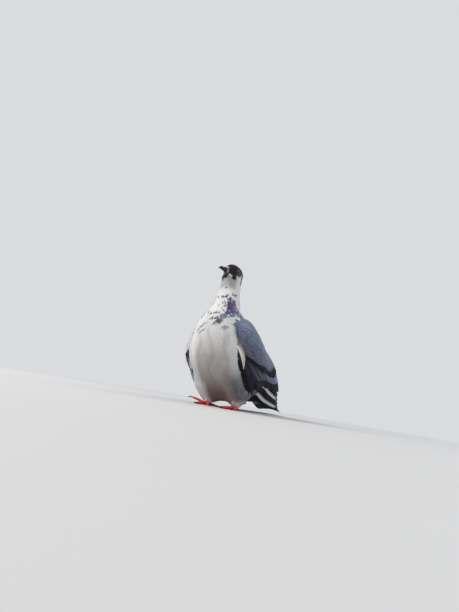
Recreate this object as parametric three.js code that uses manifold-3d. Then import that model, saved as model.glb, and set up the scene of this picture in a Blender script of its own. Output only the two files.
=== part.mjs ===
// A town pigeon standing alert, life size, as a still model: its neck is stretched up and its
// plump body sits low over its feet. Millimetres, +Z up. It faces -Y, and +X is its left side.
// The flesh is one smooth field of rounded masses, parted by thin cuts into trunk, neck, head and
// thighs. The folded wings are plates that hug it, and the tail is a domed plate.
import * as THREE from "three";
import { mergeVertices } from "three/addons/utils/BufferGeometryUtils.js";
import Module from "manifold-3d";

const wasm = await Module();
wasm.setup();

// ---- Driving dimensions -------------------------------------------------------------------
const GAP = 0.35; // between neighbouring pieces
const HEADING = { trunkPitch: 35, wingPitch: 28, tailPitch: 17, headYaw: -9, headPitch: 10 }; // degrees

const TRUNK_CENTRE = [0, 8, 75];
const WING_ORIGIN = [0, -40, 113]; // the foremost point of the wings' axis, on the mid plane
const WING_LENGTH = 214; // wrist to the tip of the longest primary
const WING_CLEAR = 1.8; // from the flesh, so that the flat facets of both stay apart
const TAIL_ROOT = [0, 76, 44];
const TAIL = { inside: 12, length: 122, rootHalf: 12, tipHalf: 27, dome: 3.5, thick: 3.2 };
const HEAD_PIVOT = [0, -21, 206];
const EYE = { forward: 4, side: 9.4, up: 2.6, radius: 4.6 };
const BILL = { forward: 13.5, up: -3.4, slope: -7, upperLength: 21.6, lowerLength: 19 };
const CERE = { forward: 19, side: 2.05, up: 0.25, half: [3.6, 1.85, 1.7] };
const LEG = { side: 24, heel: [16, 34], foot: [4, 5.2], heelRadius: 3.6, shankRadius: 2.7, hub: 4.4 };
const TOE_THICK = 2.5; // radius at the root of the middle toe

const COLOURS = {
  white: "#dcdcde",
  grey: "#7d8496",
  dark: "#34343f",
  bill: "#26242b",
  cere: "#cfc3c4",
  eye: "#c4501e",
  leg: "#b23a43",
};

// ---- Small helpers ------------------------------------------------------------------------
const vec = (x, y, z) => new THREE.Vector3(x, y, z);
const radians = THREE.MathUtils.degToRad;
const mix = THREE.MathUtils.lerp;

// A frame: an origin with a forward axis, the bird's left and up, as columns.
function frameOf(origin, forward, up) {
  const left = vec(0, 0, 0).crossVectors(up, forward).normalize();
  const trueUp = vec(0, 0, 0).crossVectors(forward, left);
  const point = (f, l, u) =>
    vec(...origin).addScaledVector(forward, f).addScaledVector(left, l).addScaledVector(trueUp, u);
  const local = (p) => {
    const d = p.clone().sub(vec(...origin));
    return vec(d.dot(forward), d.dot(left), d.dot(trueUp));
  };
  return { point, local, forward, left, up: trueUp };
}

// An axis that runs towards the tail and slopes down by pitch degrees. Here left comes out as -X,
// which no piece minds, because each is symmetric or names its side.
function tailward(origin, pitch) {
  const a = radians(pitch);
  return frameOf(origin, vec(0, Math.cos(a), -Math.sin(a)), vec(0, Math.sin(a), Math.cos(a)));
}

// A smooth function through [place, value] pairs, level beyond both ends.
function profile(...pairs) {
  return (s) => {
    const last = pairs.length - 1;
    if (s <= pairs[0][0]) return pairs[0][1];
    if (s >= pairs[last][0]) return pairs[last][1];
    const i = pairs.findIndex(([place]) => place > s) - 1;
    const at = (k) => pairs[Math.min(Math.max(k, 0), last)];
    const slope = (k) => (at(k + 1)[1] - at(k - 1)[1]) / (at(k + 1)[0] - at(k - 1)[0]);
    const span = at(i + 1)[0] - at(i)[0];
    const u = (s - at(i)[0]) / span;
    const u2 = u * u;
    const u3 = u2 * u;
    return (
      (2 * u3 - 3 * u2 + 1) * at(i)[1] +
      (u3 - 2 * u2 + u) * span * slope(i) +
      (3 * u2 - 2 * u3) * at(i + 1)[1] +
      (u3 - u2) * span * slope(i + 1)
    );
  };
}

// ---- Solids and booleans ------------------------------------------------------------------
function solidOf(geometry) {
  const bare = geometry.clone();
  bare.deleteAttribute("normal");
  bare.deleteAttribute("uv");
  const merged = mergeVertices(bare, 1e-4);
  return new wasm.Manifold(
    new wasm.Mesh({
      numProp: 3,
      vertProperties: new Float32Array(merged.attributes.position.array),
      triVerts: new Uint32Array(merged.index.array),
    }),
  );
}

function geometryOf(solid) {
  const mesh = solid.getMesh();
  const geometry = new THREE.BufferGeometry();
  geometry.setAttribute("position", new THREE.BufferAttribute(new Float32Array(mesh.vertProperties), 3));
  geometry.setIndex(new THREE.BufferAttribute(new Uint32Array(mesh.triVerts), 1));
  geometry.computeVertexNormals();
  return geometry;
}

// The half of space past a plane, as a large box.
const FAR = 400;
function beyond(point, normal) {
  const box = new THREE.BoxGeometry(FAR, FAR, FAR).translate(0, 0, FAR / 2);
  const turn = new THREE.Quaternion().setFromUnitVectors(vec(0, 0, 1), normal.clone().normalize());
  return solidOf(box.applyQuaternion(turn).translate(point.x, point.y, point.z));
}

function boxSolid(low, high) {
  const size = high.map((h, i) => h - low[i]);
  const middle = high.map((h, i) => (h + low[i]) / 2);
  return solidOf(new THREE.BoxGeometry(...size).translate(...middle));
}

// The largest connected piece of a solid, which drops slivers left by a cut.
function largest(solid) {
  return solid.decompose().reduce((a, b) => (b.volume() > a.volume() ? b : a));
}

// A closed surface from rings of points. Its two ends are capped with a fan of triangles from the
// middle, or for a plate, whose ring runs out along one sheet and back along the other, with a
// strip that joins the sheets.
function ringGeometry(rows, isPlate = false) {
  const columns = rows[0].length;
  const positions = rows.flat().flatMap((p) => [p.x, p.y, p.z]);
  const index = [];
  const id = (i, j) => i * columns + (j % columns);
  for (let i = 0; i + 1 < rows.length; i++) {
    for (let j = 0; j < columns; j++) {
      index.push(id(i, j), id(i, j + 1), id(i + 1, j + 1), id(i, j), id(i + 1, j + 1), id(i + 1, j));
    }
  }
  for (const row of [0, rows.length - 1]) {
    const triangles = [];
    if (isPlate) {
      const other = (j) => columns - 1 - j;
      for (let j = 0; j + 1 < columns / 2; j++) {
        triangles.push([j, j + 1, other(j + 1)], [j, other(j + 1), other(j)]);
      }
    } else {
      const centre = rows[row].reduce((a, p) => a.add(p), vec(0, 0, 0)).multiplyScalar(1 / columns);
      const hub = positions.length / 3 - row * columns;
      positions.push(centre.x, centre.y, centre.z);
      for (let j = 0; j < columns; j++) triangles.push([hub, j, (j + 1) % columns]);
    }
    for (const triangle of triangles) {
      if (row === 0) triangle.reverse();
      index.push(...triangle.map((j) => row * columns + j));
    }
  }
  const geometry = new THREE.BufferGeometry();
  geometry.setAttribute("position", new THREE.Float32BufferAttribute(positions, 3));
  geometry.setIndex(index);
  return geometry;
}

// Turns a geometry's faces outwards if its volume came out negative.
function outward(geometry) {
  const p = geometry.getAttribute("position");
  const index = Array.from(geometry.index.array);
  const corner = (i) => vec(p.getX(index[i]), p.getY(index[i]), p.getZ(index[i]));
  let volume = 0;
  for (let i = 0; i < index.length; i += 3) {
    volume += corner(i).dot(vec(0, 0, 0).crossVectors(corner(i + 1), corner(i + 2)));
  }
  if (volume < 0) {
    for (let i = 0; i < index.length; i += 3) [index[i], index[i + 1]] = [index[i + 1], index[i]];
    geometry.setIndex(index);
  }
  return geometry;
}

// A plate: sheet(u, v, side) gives its outer (side 1) and inner (side 0) points.
function plate(sheet, across, along) {
  const rows = [];
  for (let i = 0; i <= along; i++) {
    const row = [];
    for (let j = 0; j <= across; j++) row.push(sheet(i / along, j / across, 1));
    for (let j = across; j >= 0; j--) row.push(sheet(i / along, j / across, 0));
    rows.push(row);
  }
  return outward(ringGeometry(rows, true));
}

// A tapered limb along a smooth line. stations are [point, radius]; floor flattens what would
// reach below z = 0.
function limb(stations, { sides = 10, steps = 12, grow = 0, floor = false } = {}) {
  const curve = new THREE.CatmullRomCurve3(stations.map(([p]) => p));
  const last = stations.length - 1;
  const radius = profile(...stations.map(([, r], i) => [i / last, r]));
  const rows = [];
  const round = 1; // rings that close each end as a dome
  const ring = (t, shrink, push) => {
    const centre = curve.getPoint(t);
    const along = curve.getTangent(t);
    const side = vec(0, 0, 0).crossVectors(along, vec(0.01, 0.02, 1)).normalize();
    const up = vec(0, 0, 0).crossVectors(side, along);
    const r = (radius(t) + grow) * shrink;
    centre.addScaledVector(along, push * (radius(t) + grow));
    return Array.from({ length: sides }, (_, k) => {
      const a = (2 * Math.PI * (k + 0.5)) / sides;
      const p = centre.clone().addScaledVector(side, r * Math.cos(a)).addScaledVector(up, r * Math.sin(a));
      if (floor) p.z = Math.max(p.z, 0);
      return p;
    });
  };
  for (let k = 1; k <= round; k++) {
    const a = (Math.PI / 2) * (k / (round + 1));
    rows.push(ring(0, Math.sin(a), -0.7 * Math.cos(a)));
  }
  for (let i = 0; i <= steps; i++) rows.push(ring(i / steps, 1, 0));
  for (let k = round; k >= 1; k--) {
    const a = (Math.PI / 2) * (k / (round + 1));
    rows.push(ring(1, Math.sin(a), 0.7 * Math.cos(a)));
  }
  return outward(ringGeometry(rows));
}

// ---- The field of the flesh ---------------------------------------------------------------
// Each mass is a signed distance: negative inside. blend() joins two with a smooth fillet.
function blend(a, b, reach) {
  const h = Math.max(reach - Math.abs(a - b), 0) / reach;
  return Math.min(a, b) - (h * h * reach) / 4;
}

function egg(frame, [f, l, u], [rf, rl, ru]) {
  const r = vec(rf, rl, ru);
  return (p) => {
    const q = frame.local(p).sub(vec(f, l, u)).divide(r);
    const k0 = q.length();
    const k1 = q.divide(r).length();
    return k1 < 1e-9 ? -Math.min(rf, rl, ru) : (k0 * (k0 - 1)) / k1;
  };
}

function cone(a, b, ra, rb) {
  const axis = b.clone().sub(a);
  const length = axis.length();
  axis.divideScalar(length);
  const lean = (ra - rb) / length;
  const tilt = Math.sqrt(1 - lean * lean);
  return (p) => {
    const d = p.clone().sub(a);
    const along = d.dot(axis);
    const off = Math.sqrt(Math.max(d.lengthSq() - along * along, 0));
    const shifted = along - (off * lean) / tilt;
    if (shifted <= 0) return Math.hypot(off, along) - ra;
    if (shifted >= length) return Math.hypot(off, along - length) - rb;
    return off * tilt + along * lean - ra;
  };
}

const trunkFrame = tailward(TRUNK_CENTRE, HEADING.trunkPitch);
const headTurn = new THREE.Euler(radians(-HEADING.headPitch), 0, radians(HEADING.headYaw), "ZXY");
const headFrame = frameOf(
  HEAD_PIVOT,
  vec(0, -1, 0).applyEuler(headTurn),
  vec(0, 0, 1).applyEuler(headTurn),
);

const trunkMasses = [
  egg(trunkFrame, [0, 0, 0], [69, 52, 41]),
  egg(trunkFrame, [-26, 0, -13], [40, 51, 42]), // the breast
  egg(trunkFrame, [6, 0, -20], [46, 50, 33]), // the belly
  egg(trunkFrame, [60, 0, 10], [50, 33, 22]), // the rump
];
const tailCoverts = cone(vec(0, 56, 52), vec(0, 108, 37), 17, 5.5);
const neckMasses = [
  cone(vec(0, -30, 120), vec(0, -25.5, 158), 28.5, 17.8),
  cone(vec(0, -25.5, 158), vec(0, -20.8, 190), 17.8, 14.5),
];
const headMasses = [
  egg(headFrame, [0, 0, 3], [18.2, 13, 13.8]),
  egg(headFrame, [7.5, 0, 2], [10.4, 9.6, 10.4]), // the forehead
  egg(headFrame, [2, 0, -6], [13.6, 11.4, 9]), // cheeks and throat
  cone(headFrame.point(9, 0, -2.6), headFrame.point(16.6, 0, -4), 7.6, 4), // towards the bill
];
const thighMasses = [-1, 1].map((side) =>
  cone(vec(side * 29, 4, 40), vec(side * 25, 7, 20), 23, 12),
);

function flesh(p) {
  let d = trunkMasses.map((mass) => mass(p)).reduce((a, b) => blend(a, b, 18));
  d = blend(d, tailCoverts(p), 16);
  const neck = neckMasses.map((mass) => mass(p)).reduce((a, b) => blend(a, b, 8));
  d = blend(d, neck, 30);
  for (const thigh of thighMasses) d = blend(d, thigh(p), 12);
  const head = headMasses.map((mass) => mass(p)).reduce((a, b) => blend(a, b, 6));
  return blend(d, head, 9);
}

// The surface where a field is zero, closed off flat near the sides of a box: one vertex for each
// cell that it passes through, drawn onto the surface, and one square for each grid edge that it
// crosses.
function surfaceOf(whole, low, high, cell) {
  const inset = 1.4 * cell;
  const field = (p) =>
    Math.max(
      whole(p),
      low[0] + inset - p.x,
      low[1] + inset - p.y,
      low[2] + inset - p.z,
      p.x - high[0] + inset,
      p.y - high[1] + inset,
      p.z - high[2] + inset,
    );
  const size = low.map((l, i) => Math.ceil((high[i] - l) / cell) + 1);
  const place = (i, j, k) => vec(low[0] + i * cell, low[1] + j * cell, low[2] + k * cell);
  const id = (i, j, k) => (i * size[1] + j) * size[2] + k;
  const values = new Float64Array(size[0] * size[1] * size[2]);
  for (let i = 0; i < size[0]; i++) {
    for (let j = 0; j < size[1]; j++) {
      for (let k = 0; k < size[2]; k++) values[id(i, j, k)] = field(place(i, j, k));
    }
  }
  const positions = [];
  const vertex = new Map();
  const onSurface = (p) => {
    const h = 0.05;
    for (let n = 0; n < 4; n++) {
      const d = field(p);
      const slope = vec(
        field(vec(p.x + h, p.y, p.z)) - d,
        field(vec(p.x, p.y + h, p.z)) - d,
        field(vec(p.x, p.y, p.z + h)) - d,
      ).divideScalar(h);
      p.addScaledVector(slope, -d / Math.max(slope.lengthSq(), 0.25));
    }
    return p;
  };
  const corners = [0, 1].flatMap((a) => [0, 1].flatMap((b) => [0, 1].map((c) => [a, b, c])));
  for (let i = 0; i + 1 < size[0]; i++) {
    for (let j = 0; j + 1 < size[1]; j++) {
      for (let k = 0; k + 1 < size[2]; k++) {
        const crossings = [];
        corners.forEach((a, m) => {
          for (const b of corners.slice(m + 1)) {
            if (Math.abs(a[0] - b[0]) + Math.abs(a[1] - b[1]) + Math.abs(a[2] - b[2]) !== 1) continue;
            const va = values[id(i + a[0], j + a[1], k + a[2])];
            const vb = values[id(i + b[0], j + b[1], k + b[2])];
            if (va < 0 === vb < 0) continue;
            const pa = place(i + a[0], j + a[1], k + a[2]);
            crossings.push(pa.lerp(place(i + b[0], j + b[1], k + b[2]), va / (va - vb)));
          }
        });
        if (!crossings.length) continue;
        const middle = crossings.reduce((a, p) => a.add(p), vec(0, 0, 0)).divideScalar(crossings.length);
        onSurface(middle);
        vertex.set(id(i, j, k), positions.length / 3);
        positions.push(middle.x, middle.y, middle.z);
      }
    }
  }
  const index = [];
  const steps = [[1, 0, 0], [0, 1, 0], [0, 0, 1]];
  for (let i = 1; i + 1 < size[0]; i++) {
    for (let j = 1; j + 1 < size[1]; j++) {
      for (let k = 1; k + 1 < size[2]; k++) {
        steps.forEach((step, axis) => {
          const inside = values[id(i, j, k)] < 0;
          const next = values[id(i + step[0], j + step[1], k + step[2])] < 0;
          if (inside === next) return;
          const u = steps[(axis + 1) % 3];
          const v = steps[(axis + 2) % 3];
          const around = [[0, 0], [1, 0], [1, 1], [0, 1]].map(([a, b]) =>
            vertex.get(id(i - a * u[0] - b * v[0], j - a * u[1] - b * v[1], k - a * u[2] - b * v[2])),
          );
          if (!inside) around.reverse();
          index.push(around[0], around[1], around[2], around[0], around[2], around[3]);
        });
      }
    }
  }
  const geometry = new THREE.BufferGeometry();
  geometry.setAttribute("position", new THREE.Float32BufferAttribute(positions, 3));
  geometry.setIndex(index);
  return outward(geometry);
}

// ---- Cuts that part the flesh -------------------------------------------------------------
const NECK_BASE = { point: vec(0, -34, 138), normal: vec(0, -0.3, 1) };
const NECK_TOP = { point: vec(0, -25, 193), normal: vec(0, 0.28, 1) };
const THIGH_BOX = { inner: 8, outer: 56, front: -26, back: 40, top: 32 };

function halves({ point, normal }) {
  const step = normal.clone().normalize().multiplyScalar(GAP / 2);
  return {
    above: beyond(point.clone().add(step), normal),
    below: beyond(point.clone().sub(step), normal.clone().negate()),
  };
}
const neckBase = halves(NECK_BASE);
const neckTop = halves(NECK_TOP);

function thighBox(side, grow) {
  const x = [THIGH_BOX.inner - grow, THIGH_BOX.outer + grow].map((v) => v * side).sort((a, b) => a - b);
  return boxSolid(
    [x[0], THIGH_BOX.front - grow, 0],
    [x[1], THIGH_BOX.back + grow, THIGH_BOX.top + grow],
  );
}

// ---- Bill, cere and eyes ------------------------------------------------------------------
const billAxis = (() => {
  const a = radians(BILL.slope);
  const forward = headFrame.forward.clone().multiplyScalar(Math.cos(a));
  forward.addScaledVector(headFrame.up, Math.sin(a));
  const up = vec(0, 0, 0).crossVectors(forward, headFrame.left);
  return frameOf(headFrame.point(BILL.forward, 0, BILL.up).toArray(), forward, up);
})();

// Half a bill: a dome (up 1) or a trough (up -1) over a flat or curved gape line.
function mandible(length, halfWidth, depth, droop, up, grow = 0) {
  const rings = 8;
  const arc = 6;
  const rows = Array.from({ length: rings + 1 }, (_, i) => {
    const t = i / rings;
    const s = t * length + (t - 0.5) * 2 * grow;
    const w = halfWidth(t) + grow;
    const h = depth(t) + grow;
    const base = -droop(t) + up * (GAP / 2 - grow);
    const dome = Array.from({ length: arc + 1 }, (_, k) => {
      const a = (Math.PI * k) / arc;
      return billAxis.point(s, w * Math.cos(a), base + up * (h + grow) * Math.sin(a) ** 0.85);
    });
    return dome;
  });
  return outward(ringGeometry(rows));
}
const upperMandible = (grow) =>
  mandible(
    BILL.upperLength,
    profile([0, 3.5], [0.35, 2.9], [0.7, 2.0], [0.92, 1.2], [1, 0.5]),
    profile([0, 4.6], [0.3, 3.5], [0.62, 2.7], [0.85, 2.6], [1, 1.0]),
    profile([0, 0], [0.6, 0], [0.85, 0.9], [1, 3.2]),
    1,
    grow,
  );
const lowerMandible = (grow) =>
  mandible(
    BILL.lowerLength,
    profile([0, 3.3], [0.35, 2.7], [0.7, 1.8], [0.92, 1.1], [1, 0.5]),
    profile([0, 3.0], [0.4, 2.2], [0.8, 1.8], [1, 0.7]),
    profile([0, 0], [0.7, 0], [0.9, 0.5], [1, 1.3]),
    -1,
    grow,
  );

function ball(centre, radii, frame, detail = 14, grow = 0) {
  const turn = new THREE.Matrix4().makeBasis(frame.forward, frame.left, frame.up).setPosition(centre);
  const size = vec(...radii).addScalar(grow);
  const rings = Math.round(detail * 0.6);
  const rows = Array.from({ length: rings }, (_, i) => {
    const fall = (Math.PI * (i + 0.5)) / rings;
    return Array.from({ length: detail }, (_, k) => {
      const a = (2 * Math.PI * k) / detail;
      const p = vec(Math.cos(a) * Math.sin(fall), Math.sin(a) * Math.sin(fall), Math.cos(fall));
      return p.multiply(size).applyMatrix4(turn);
    });
  });
  return outward(ringGeometry(rows));
}
const eyeBall = (side, grow) =>
  ball(
    headFrame.point(EYE.forward, side * EYE.side, EYE.up),
    [EYE.radius, EYE.radius, EYE.radius],
    headFrame,
    12,
    grow,
  );
const cereLobe = (side, grow) =>
  ball(headFrame.point(CERE.forward, side * CERE.side, CERE.up - 0.4), CERE.half, billAxis, 8, grow);

// ---- Wings --------------------------------------------------------------------------------
// A wing lies on a sheath round its axis: s runs from the wrist to the tip, and the angle goes from
// the bird's side (0) up to its back (90). A station gives the angles of the wing's lower and upper
// edges, and the radii that it keeps where no flesh holds it out: at the side, over the back and
// below, where the primaries hang.
const wingFrame = tailward(WING_ORIGIN, HEADING.wingPitch);
const WING_STATIONS = [
  { s: 0, low: 0, high: 4, side: 30, top: 20, under: 20 },
  { s: 8, low: -29, high: 31, side: 31, top: 21, under: 21 },
  { s: 24, low: -46, high: 54, side: 34, top: 24, under: 24 },
  { s: 60, low: -52, high: 76, side: 45, top: 29, under: 44 },
  { s: 98, low: -52, high: 84, side: 54, top: 37, under: 60 },
  { s: 130, low: -44, high: 82, side: 53, top: 36, under: 63 },
  { s: 150, low: -38, high: 60, side: 49, top: 32, under: 64 },
  { s: 180, low: -27, high: 28, side: 42, top: 24, under: 62 },
  { s: WING_LENGTH, low: -5, high: 4, side: 34, top: 16, under: 18 },
];
const alongWing = (key) => profile(...WING_STATIONS.map((station) => [station.s, station[key]]));
const lowEdge = alongWing("low");
const highEdge = alongWing("high");
const freeSide = alongWing("side");
const freeTop = alongWing("top");
const freeUnder = alongWing("under");
// Where the coverts and then the secondaries end, from the lower edge (0) to the back (1).
const covertsEnd = profile([0, 66], [0.35, 80], [0.75, 94], [1, 98]);
const secondariesEnd = profile([0, 92], [0.35, 114], [0.75, 136], [1, 142]);

function sheathRadius(s, angle) {
  const a = radians(angle);
  const from = wingFrame.point(s, 0, 0);
  const out = vec(Math.cos(a), 0, 0).addScaledVector(wingFrame.up, Math.sin(a));
  let low = 0;
  let high = 90;
  for (let n = 0; n < 22; n++) {
    const middle = (low + high) / 2;
    if (flesh(from.clone().addScaledVector(out, middle)) < WING_CLEAR) low = middle;
    else high = middle;
  }
  const upright = angle < 0 ? freeUnder(s) : freeTop(s);
  const free = 1 / Math.hypot(Math.cos(a) / freeSide(s), Math.sin(a) / upright);
  return -blend(-low, -free, 6);
}

function wingPart(side, { from, to, thickness, across, along }) {
  return plate(
    (u, v, outer) => {
      const s = mix(from(v), to(v), u);
      const angle = mix(lowEdge(s), highEdge(s), v);
      const edge = 0.3 + 0.7 * Math.sin(Math.PI * mix(0.06, 0.94, v)) ** 0.5;
      const wrist = s < 12 ? 0.45 + (0.55 * s) / 12 : 1;
      const r = sheathRadius(s, angle) + (outer ? thickness(s) * edge * wrist : 0);
      const a = radians(angle);
      return wingFrame.point(s, 0, r * Math.sin(a)).add(vec(side * r * Math.cos(a), 0, 0));
    },
    across,
    along,
  );
}

const WING_PARTS = {
  coverts: {
    from: () => 0,
    to: (v) => covertsEnd(v) - GAP / 2,
    thickness: profile([0, 4.5], [30, 6.5], [98, 5.2]),
    across: 8,
    along: 9,
  },
  secondaries: {
    from: (v) => covertsEnd(v) + GAP / 2,
    to: (v) => secondariesEnd(v) - GAP / 2,
    thickness: profile([60, 4.4], [142, 3.0]),
    across: 9,
    along: 5,
  },
  primaries: {
    from: (v) => secondariesEnd(v) + GAP,
    to: () => WING_LENGTH,
    thickness: profile([90, 3.2], [214, 1.6]),
    across: 6,
    along: 9,
  },
};

// ---- Tail ---------------------------------------------------------------------------------
const tailFrame = tailward(TAIL_ROOT, HEADING.tailPitch);
function tailSolid(grow) {
  const half = profile([-TAIL.inside, TAIL.rootHalf], [40, 17], [TAIL.length, TAIL.tipHalf]);
  return plate(
    (u, v, outer) => {
      const across = 2 * v - 1;
      const end = TAIL.length - 5 * across ** 2 + grow;
      const s = mix(-TAIL.inside, end, u);
      const thick = (TAIL.thick * (1 - 0.35 * u)) / 2 + grow;
      const dome = -TAIL.dome * across ** 2 * (0.5 + 0.5 * u);
      const edge = outer ? thick : -thick;
      const taper = Math.sqrt(Math.max(1 - Math.abs(across) ** 6, 0.12));
      return tailFrame.point(s, 0, dome + edge * taper).add(vec(across * (half(s) + grow), 0, 0));
    },
    8,
    6,
  );
}

// ---- Feet ---------------------------------------------------------------------------------
// Each toe: its bearing in degrees from straight ahead towards the outside, its length, its
// thickness as a share of TOE_THICK and how high its tip is lifted.
const TOES = {
  inner: { bearing: -36, length: 22, thick: 0.88 },
  middle: { bearing: -3, length: 30, thick: 1 },
  outer: { bearing: 34, length: 24, thick: 0.86 },
  hind: { bearing: 190, length: 14, thick: 0.84 },
};
const LIFTED = { side: -1, toe: "outer", bearing: 60, rise: 7 };

function toeStations(side, name) {
  const toe = TOES[name];
  const lifted = side === LIFTED.side && name === LIFTED.toe;
  const bearing = radians(lifted ? LIFTED.bearing : toe.bearing);
  const r = TOE_THICK * toe.thick;
  const rise = lifted ? LIFTED.rise : 0;
  const hub = vec(side * LEG.side, LEG.foot[0], 0);
  const go = vec(side * Math.sin(bearing), -Math.cos(bearing), 0);
  // The pads under the joints bear on the floor, and the toe arches a little between them.
  const at = (share, high) => hub.clone().addScaledVector(go, 2 + share * toe.length).setZ(high);
  return {
    go,
    r,
    rise,
    stations: [
      [at(0, r + 0.9 + 0.1 * rise), r * 1.1],
      [at(0.28, r * 0.92 + 0.25 * rise), r],
      [at(0.52, r * 0.98 + 0.5 * rise), r * 0.86],
      [at(0.72, r * 0.78 + 0.72 * rise), r * 0.86],
      [at(0.88, r * 0.72 + 0.9 * rise), r * 0.72],
      [at(1, r * 0.62 + rise), r * 0.62],
    ],
  };
}

function clawStations({ stations, go, rise }) {
  const [tip, r] = stations[stations.length - 1];
  const start = r * 0.95 + GAP;
  const fall = rise ? 1.4 : tip.z - 0.75;
  const step = (along, drop) => tip.clone().addScaledVector(go, start + along).add(vec(0, 0, -drop));
  return [
    [step(0, -0.1), r * 0.88],
    [step(1.8, -0.25), r * 0.72],
    [step(3.6, fall * 0.3), r * 0.45],
    [step(5.2, fall), 0.34],
  ];
}

// ---- Assembly -----------------------------------------------------------------------------
const model = new THREE.Group();
function addNode(name, solid, colour, roughness = 0.8) {
  const material = new THREE.MeshStandardMaterial({ color: COLOURS[colour], roughness, metalness: 0 });
  const mesh = new THREE.Mesh(geometryOf(largest(solid)), material);
  mesh.name = name;
  model.add(mesh);
}

const sideName = (side) => (side > 0 ? "left" : "right");

// Bill and cere first, because the head is cut to receive them.
const upperBill = solidOf(upperMandible(0));
const lowerBill = solidOf(lowerMandible(0));
const sockets = [solidOf(upperMandible(GAP)), solidOf(lowerMandible(GAP))];
addNode("bill_upper", upperBill, "bill", 0.5);
addNode("bill_lower", lowerBill, "bill", 0.5);

let head = solidOf(surfaceOf(flesh, [-34, -62, 182], [34, 7, 234], 4.3)).intersect(neckTop.above);
for (const socket of sockets) head = head.subtract(socket);
for (const side of [-1, 1]) {
  const lobe = solidOf(cereLobe(side, 0)).subtract(sockets[0]);
  addNode(`cere_${sideName(side)}`, lobe, "cere", 0.6);
  head = head.subtract(solidOf(cereLobe(side, GAP))).subtract(solidOf(eyeBall(side, GAP)));
  addNode(`eye_${sideName(side)}`, solidOf(eyeBall(side, 0)), "eye", 0.15);
}
addNode("head", head, "white");

const neck = solidOf(surfaceOf(flesh, [-72, -96, 104], [72, 48, 210], 7.2));
addNode("neck", neck.intersect(neckBase.above).intersect(neckTop.below), "white");

const body = solidOf(surfaceOf(flesh, [-76, -100, -8], [76, 136, 176], 10));
let trunk = body.intersect(neckBase.below).subtract(solidOf(tailSolid(GAP)));
const legSurface = solidOf(surfaceOf(flesh, [-66, -50, -8], [66, 64, 52], 7));
for (const side of [-1, 1]) {
  trunk = trunk.subtract(thighBox(side, GAP));
  addNode(`thigh_${sideName(side)}`, legSurface.intersect(thighBox(side, 0)), "white");
}
addNode("trunk", trunk, "white");
addNode("tail", solidOf(tailSolid(0)), "dark");

for (const side of [-1, 1]) {
  for (const [name, part] of Object.entries(WING_PARTS)) {
    const colour = name === "coverts" ? "grey" : "dark";
    addNode(`wing_${sideName(side)}_${name}`, solidOf(wingPart(side, part)), colour);
  }
}

for (const side of [-1, 1]) {
  const x = side * LEG.side;
  const [heel, foot] = [LEG.heel, LEG.foot].map(([y, z]) => vec(x, y, z));
  const shankStations = [
    [heel, LEG.heelRadius],
    [heel.clone().lerp(foot, 0.3), LEG.shankRadius],
    [heel.clone().lerp(foot, 0.75), LEG.shankRadius],
    [foot, LEG.hub],
  ];
  const shank = (grow) => solidOf(limb(shankStations, { sides: 10, steps: 6, grow, floor: true }));
  const thighClear = legSurface.intersect(thighBox(side, GAP));
  const cuts = [shank(GAP)];
  addNode(`shank_${sideName(side)}`, shank(0).subtract(thighClear), "leg", 0.7);
  for (const name of Object.keys(TOES)) {
    const toe = toeStations(side, name);
    const shape = { sides: 7, steps: 6, floor: true };
    let solid = solidOf(limb(toe.stations, shape));
    for (const cut of cuts) solid = solid.subtract(cut);
    addNode(`toe_${sideName(side)}_${name}`, solid, "leg", 0.7);
    const claw = solidOf(limb(clawStations(toe), { sides: 6, steps: 4, floor: true }));
    addNode(`claw_${sideName(side)}_${name}`, claw, "bill", 0.45);
    cuts.push(solidOf(limb(toe.stations, { ...shape, grow: GAP })));
  }
}

// Put the origin under the middle of the whole bird, at the level of its feet.
const bounds = new THREE.Box3().setFromObject(model);
const middle = bounds.getCenter(vec(0, 0, 0));
for (const mesh of model.children) mesh.geometry.translate(-middle.x, -middle.y, -bounds.min.z);

export default model;
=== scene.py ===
"""A feral pigeon as a still, life-size museum model, in metres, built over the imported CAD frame.

One skin stands for the flesh nodes. Feathers of solid mesh lie over it: small contour feathers that
follow the flow of the coat, and rows of coverts and flight feathers on each wing and on the tail.
The bird faces -Y and +X is its left side.
"""

import math
from collections import namedtuple

import bmesh
import bpy
import numpy as np
from mathutils import Matrix, Vector
from mathutils.bvhtree import BVHTree


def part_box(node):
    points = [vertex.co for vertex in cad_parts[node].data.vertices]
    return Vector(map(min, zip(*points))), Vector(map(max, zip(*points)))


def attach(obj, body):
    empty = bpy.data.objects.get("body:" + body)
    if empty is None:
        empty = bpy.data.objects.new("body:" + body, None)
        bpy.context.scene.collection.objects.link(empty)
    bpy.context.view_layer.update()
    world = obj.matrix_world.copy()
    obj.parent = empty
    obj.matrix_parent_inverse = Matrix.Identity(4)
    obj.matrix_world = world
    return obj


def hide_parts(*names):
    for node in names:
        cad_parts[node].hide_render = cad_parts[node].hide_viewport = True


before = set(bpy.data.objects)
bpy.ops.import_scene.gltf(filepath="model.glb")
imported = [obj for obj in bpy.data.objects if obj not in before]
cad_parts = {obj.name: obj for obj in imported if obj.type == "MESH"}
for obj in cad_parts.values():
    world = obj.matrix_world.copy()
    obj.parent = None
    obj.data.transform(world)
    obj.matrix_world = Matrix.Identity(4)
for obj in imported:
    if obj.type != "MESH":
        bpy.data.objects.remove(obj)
for stray in ("Cube", "Light", "Camera"):
    if stray in bpy.data.objects:
        bpy.data.objects.remove(bpy.data.objects[stray])
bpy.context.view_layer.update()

# Driving dimensions ------------------------------------------------------------------------------

MM = 0.001
SIDES = {"left": 1, "right": -1}
TOES = ("inner", "middle", "outer", "hind")

# The head is turned to its right and tipped back a little, as in the CAD frame.
HEAD_YAW = math.radians(-9)
HEAD_PITCH = math.radians(10)
EYE_FORWARD = 4.0 * MM
EYE_UP = 2.6 * MM

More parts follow.
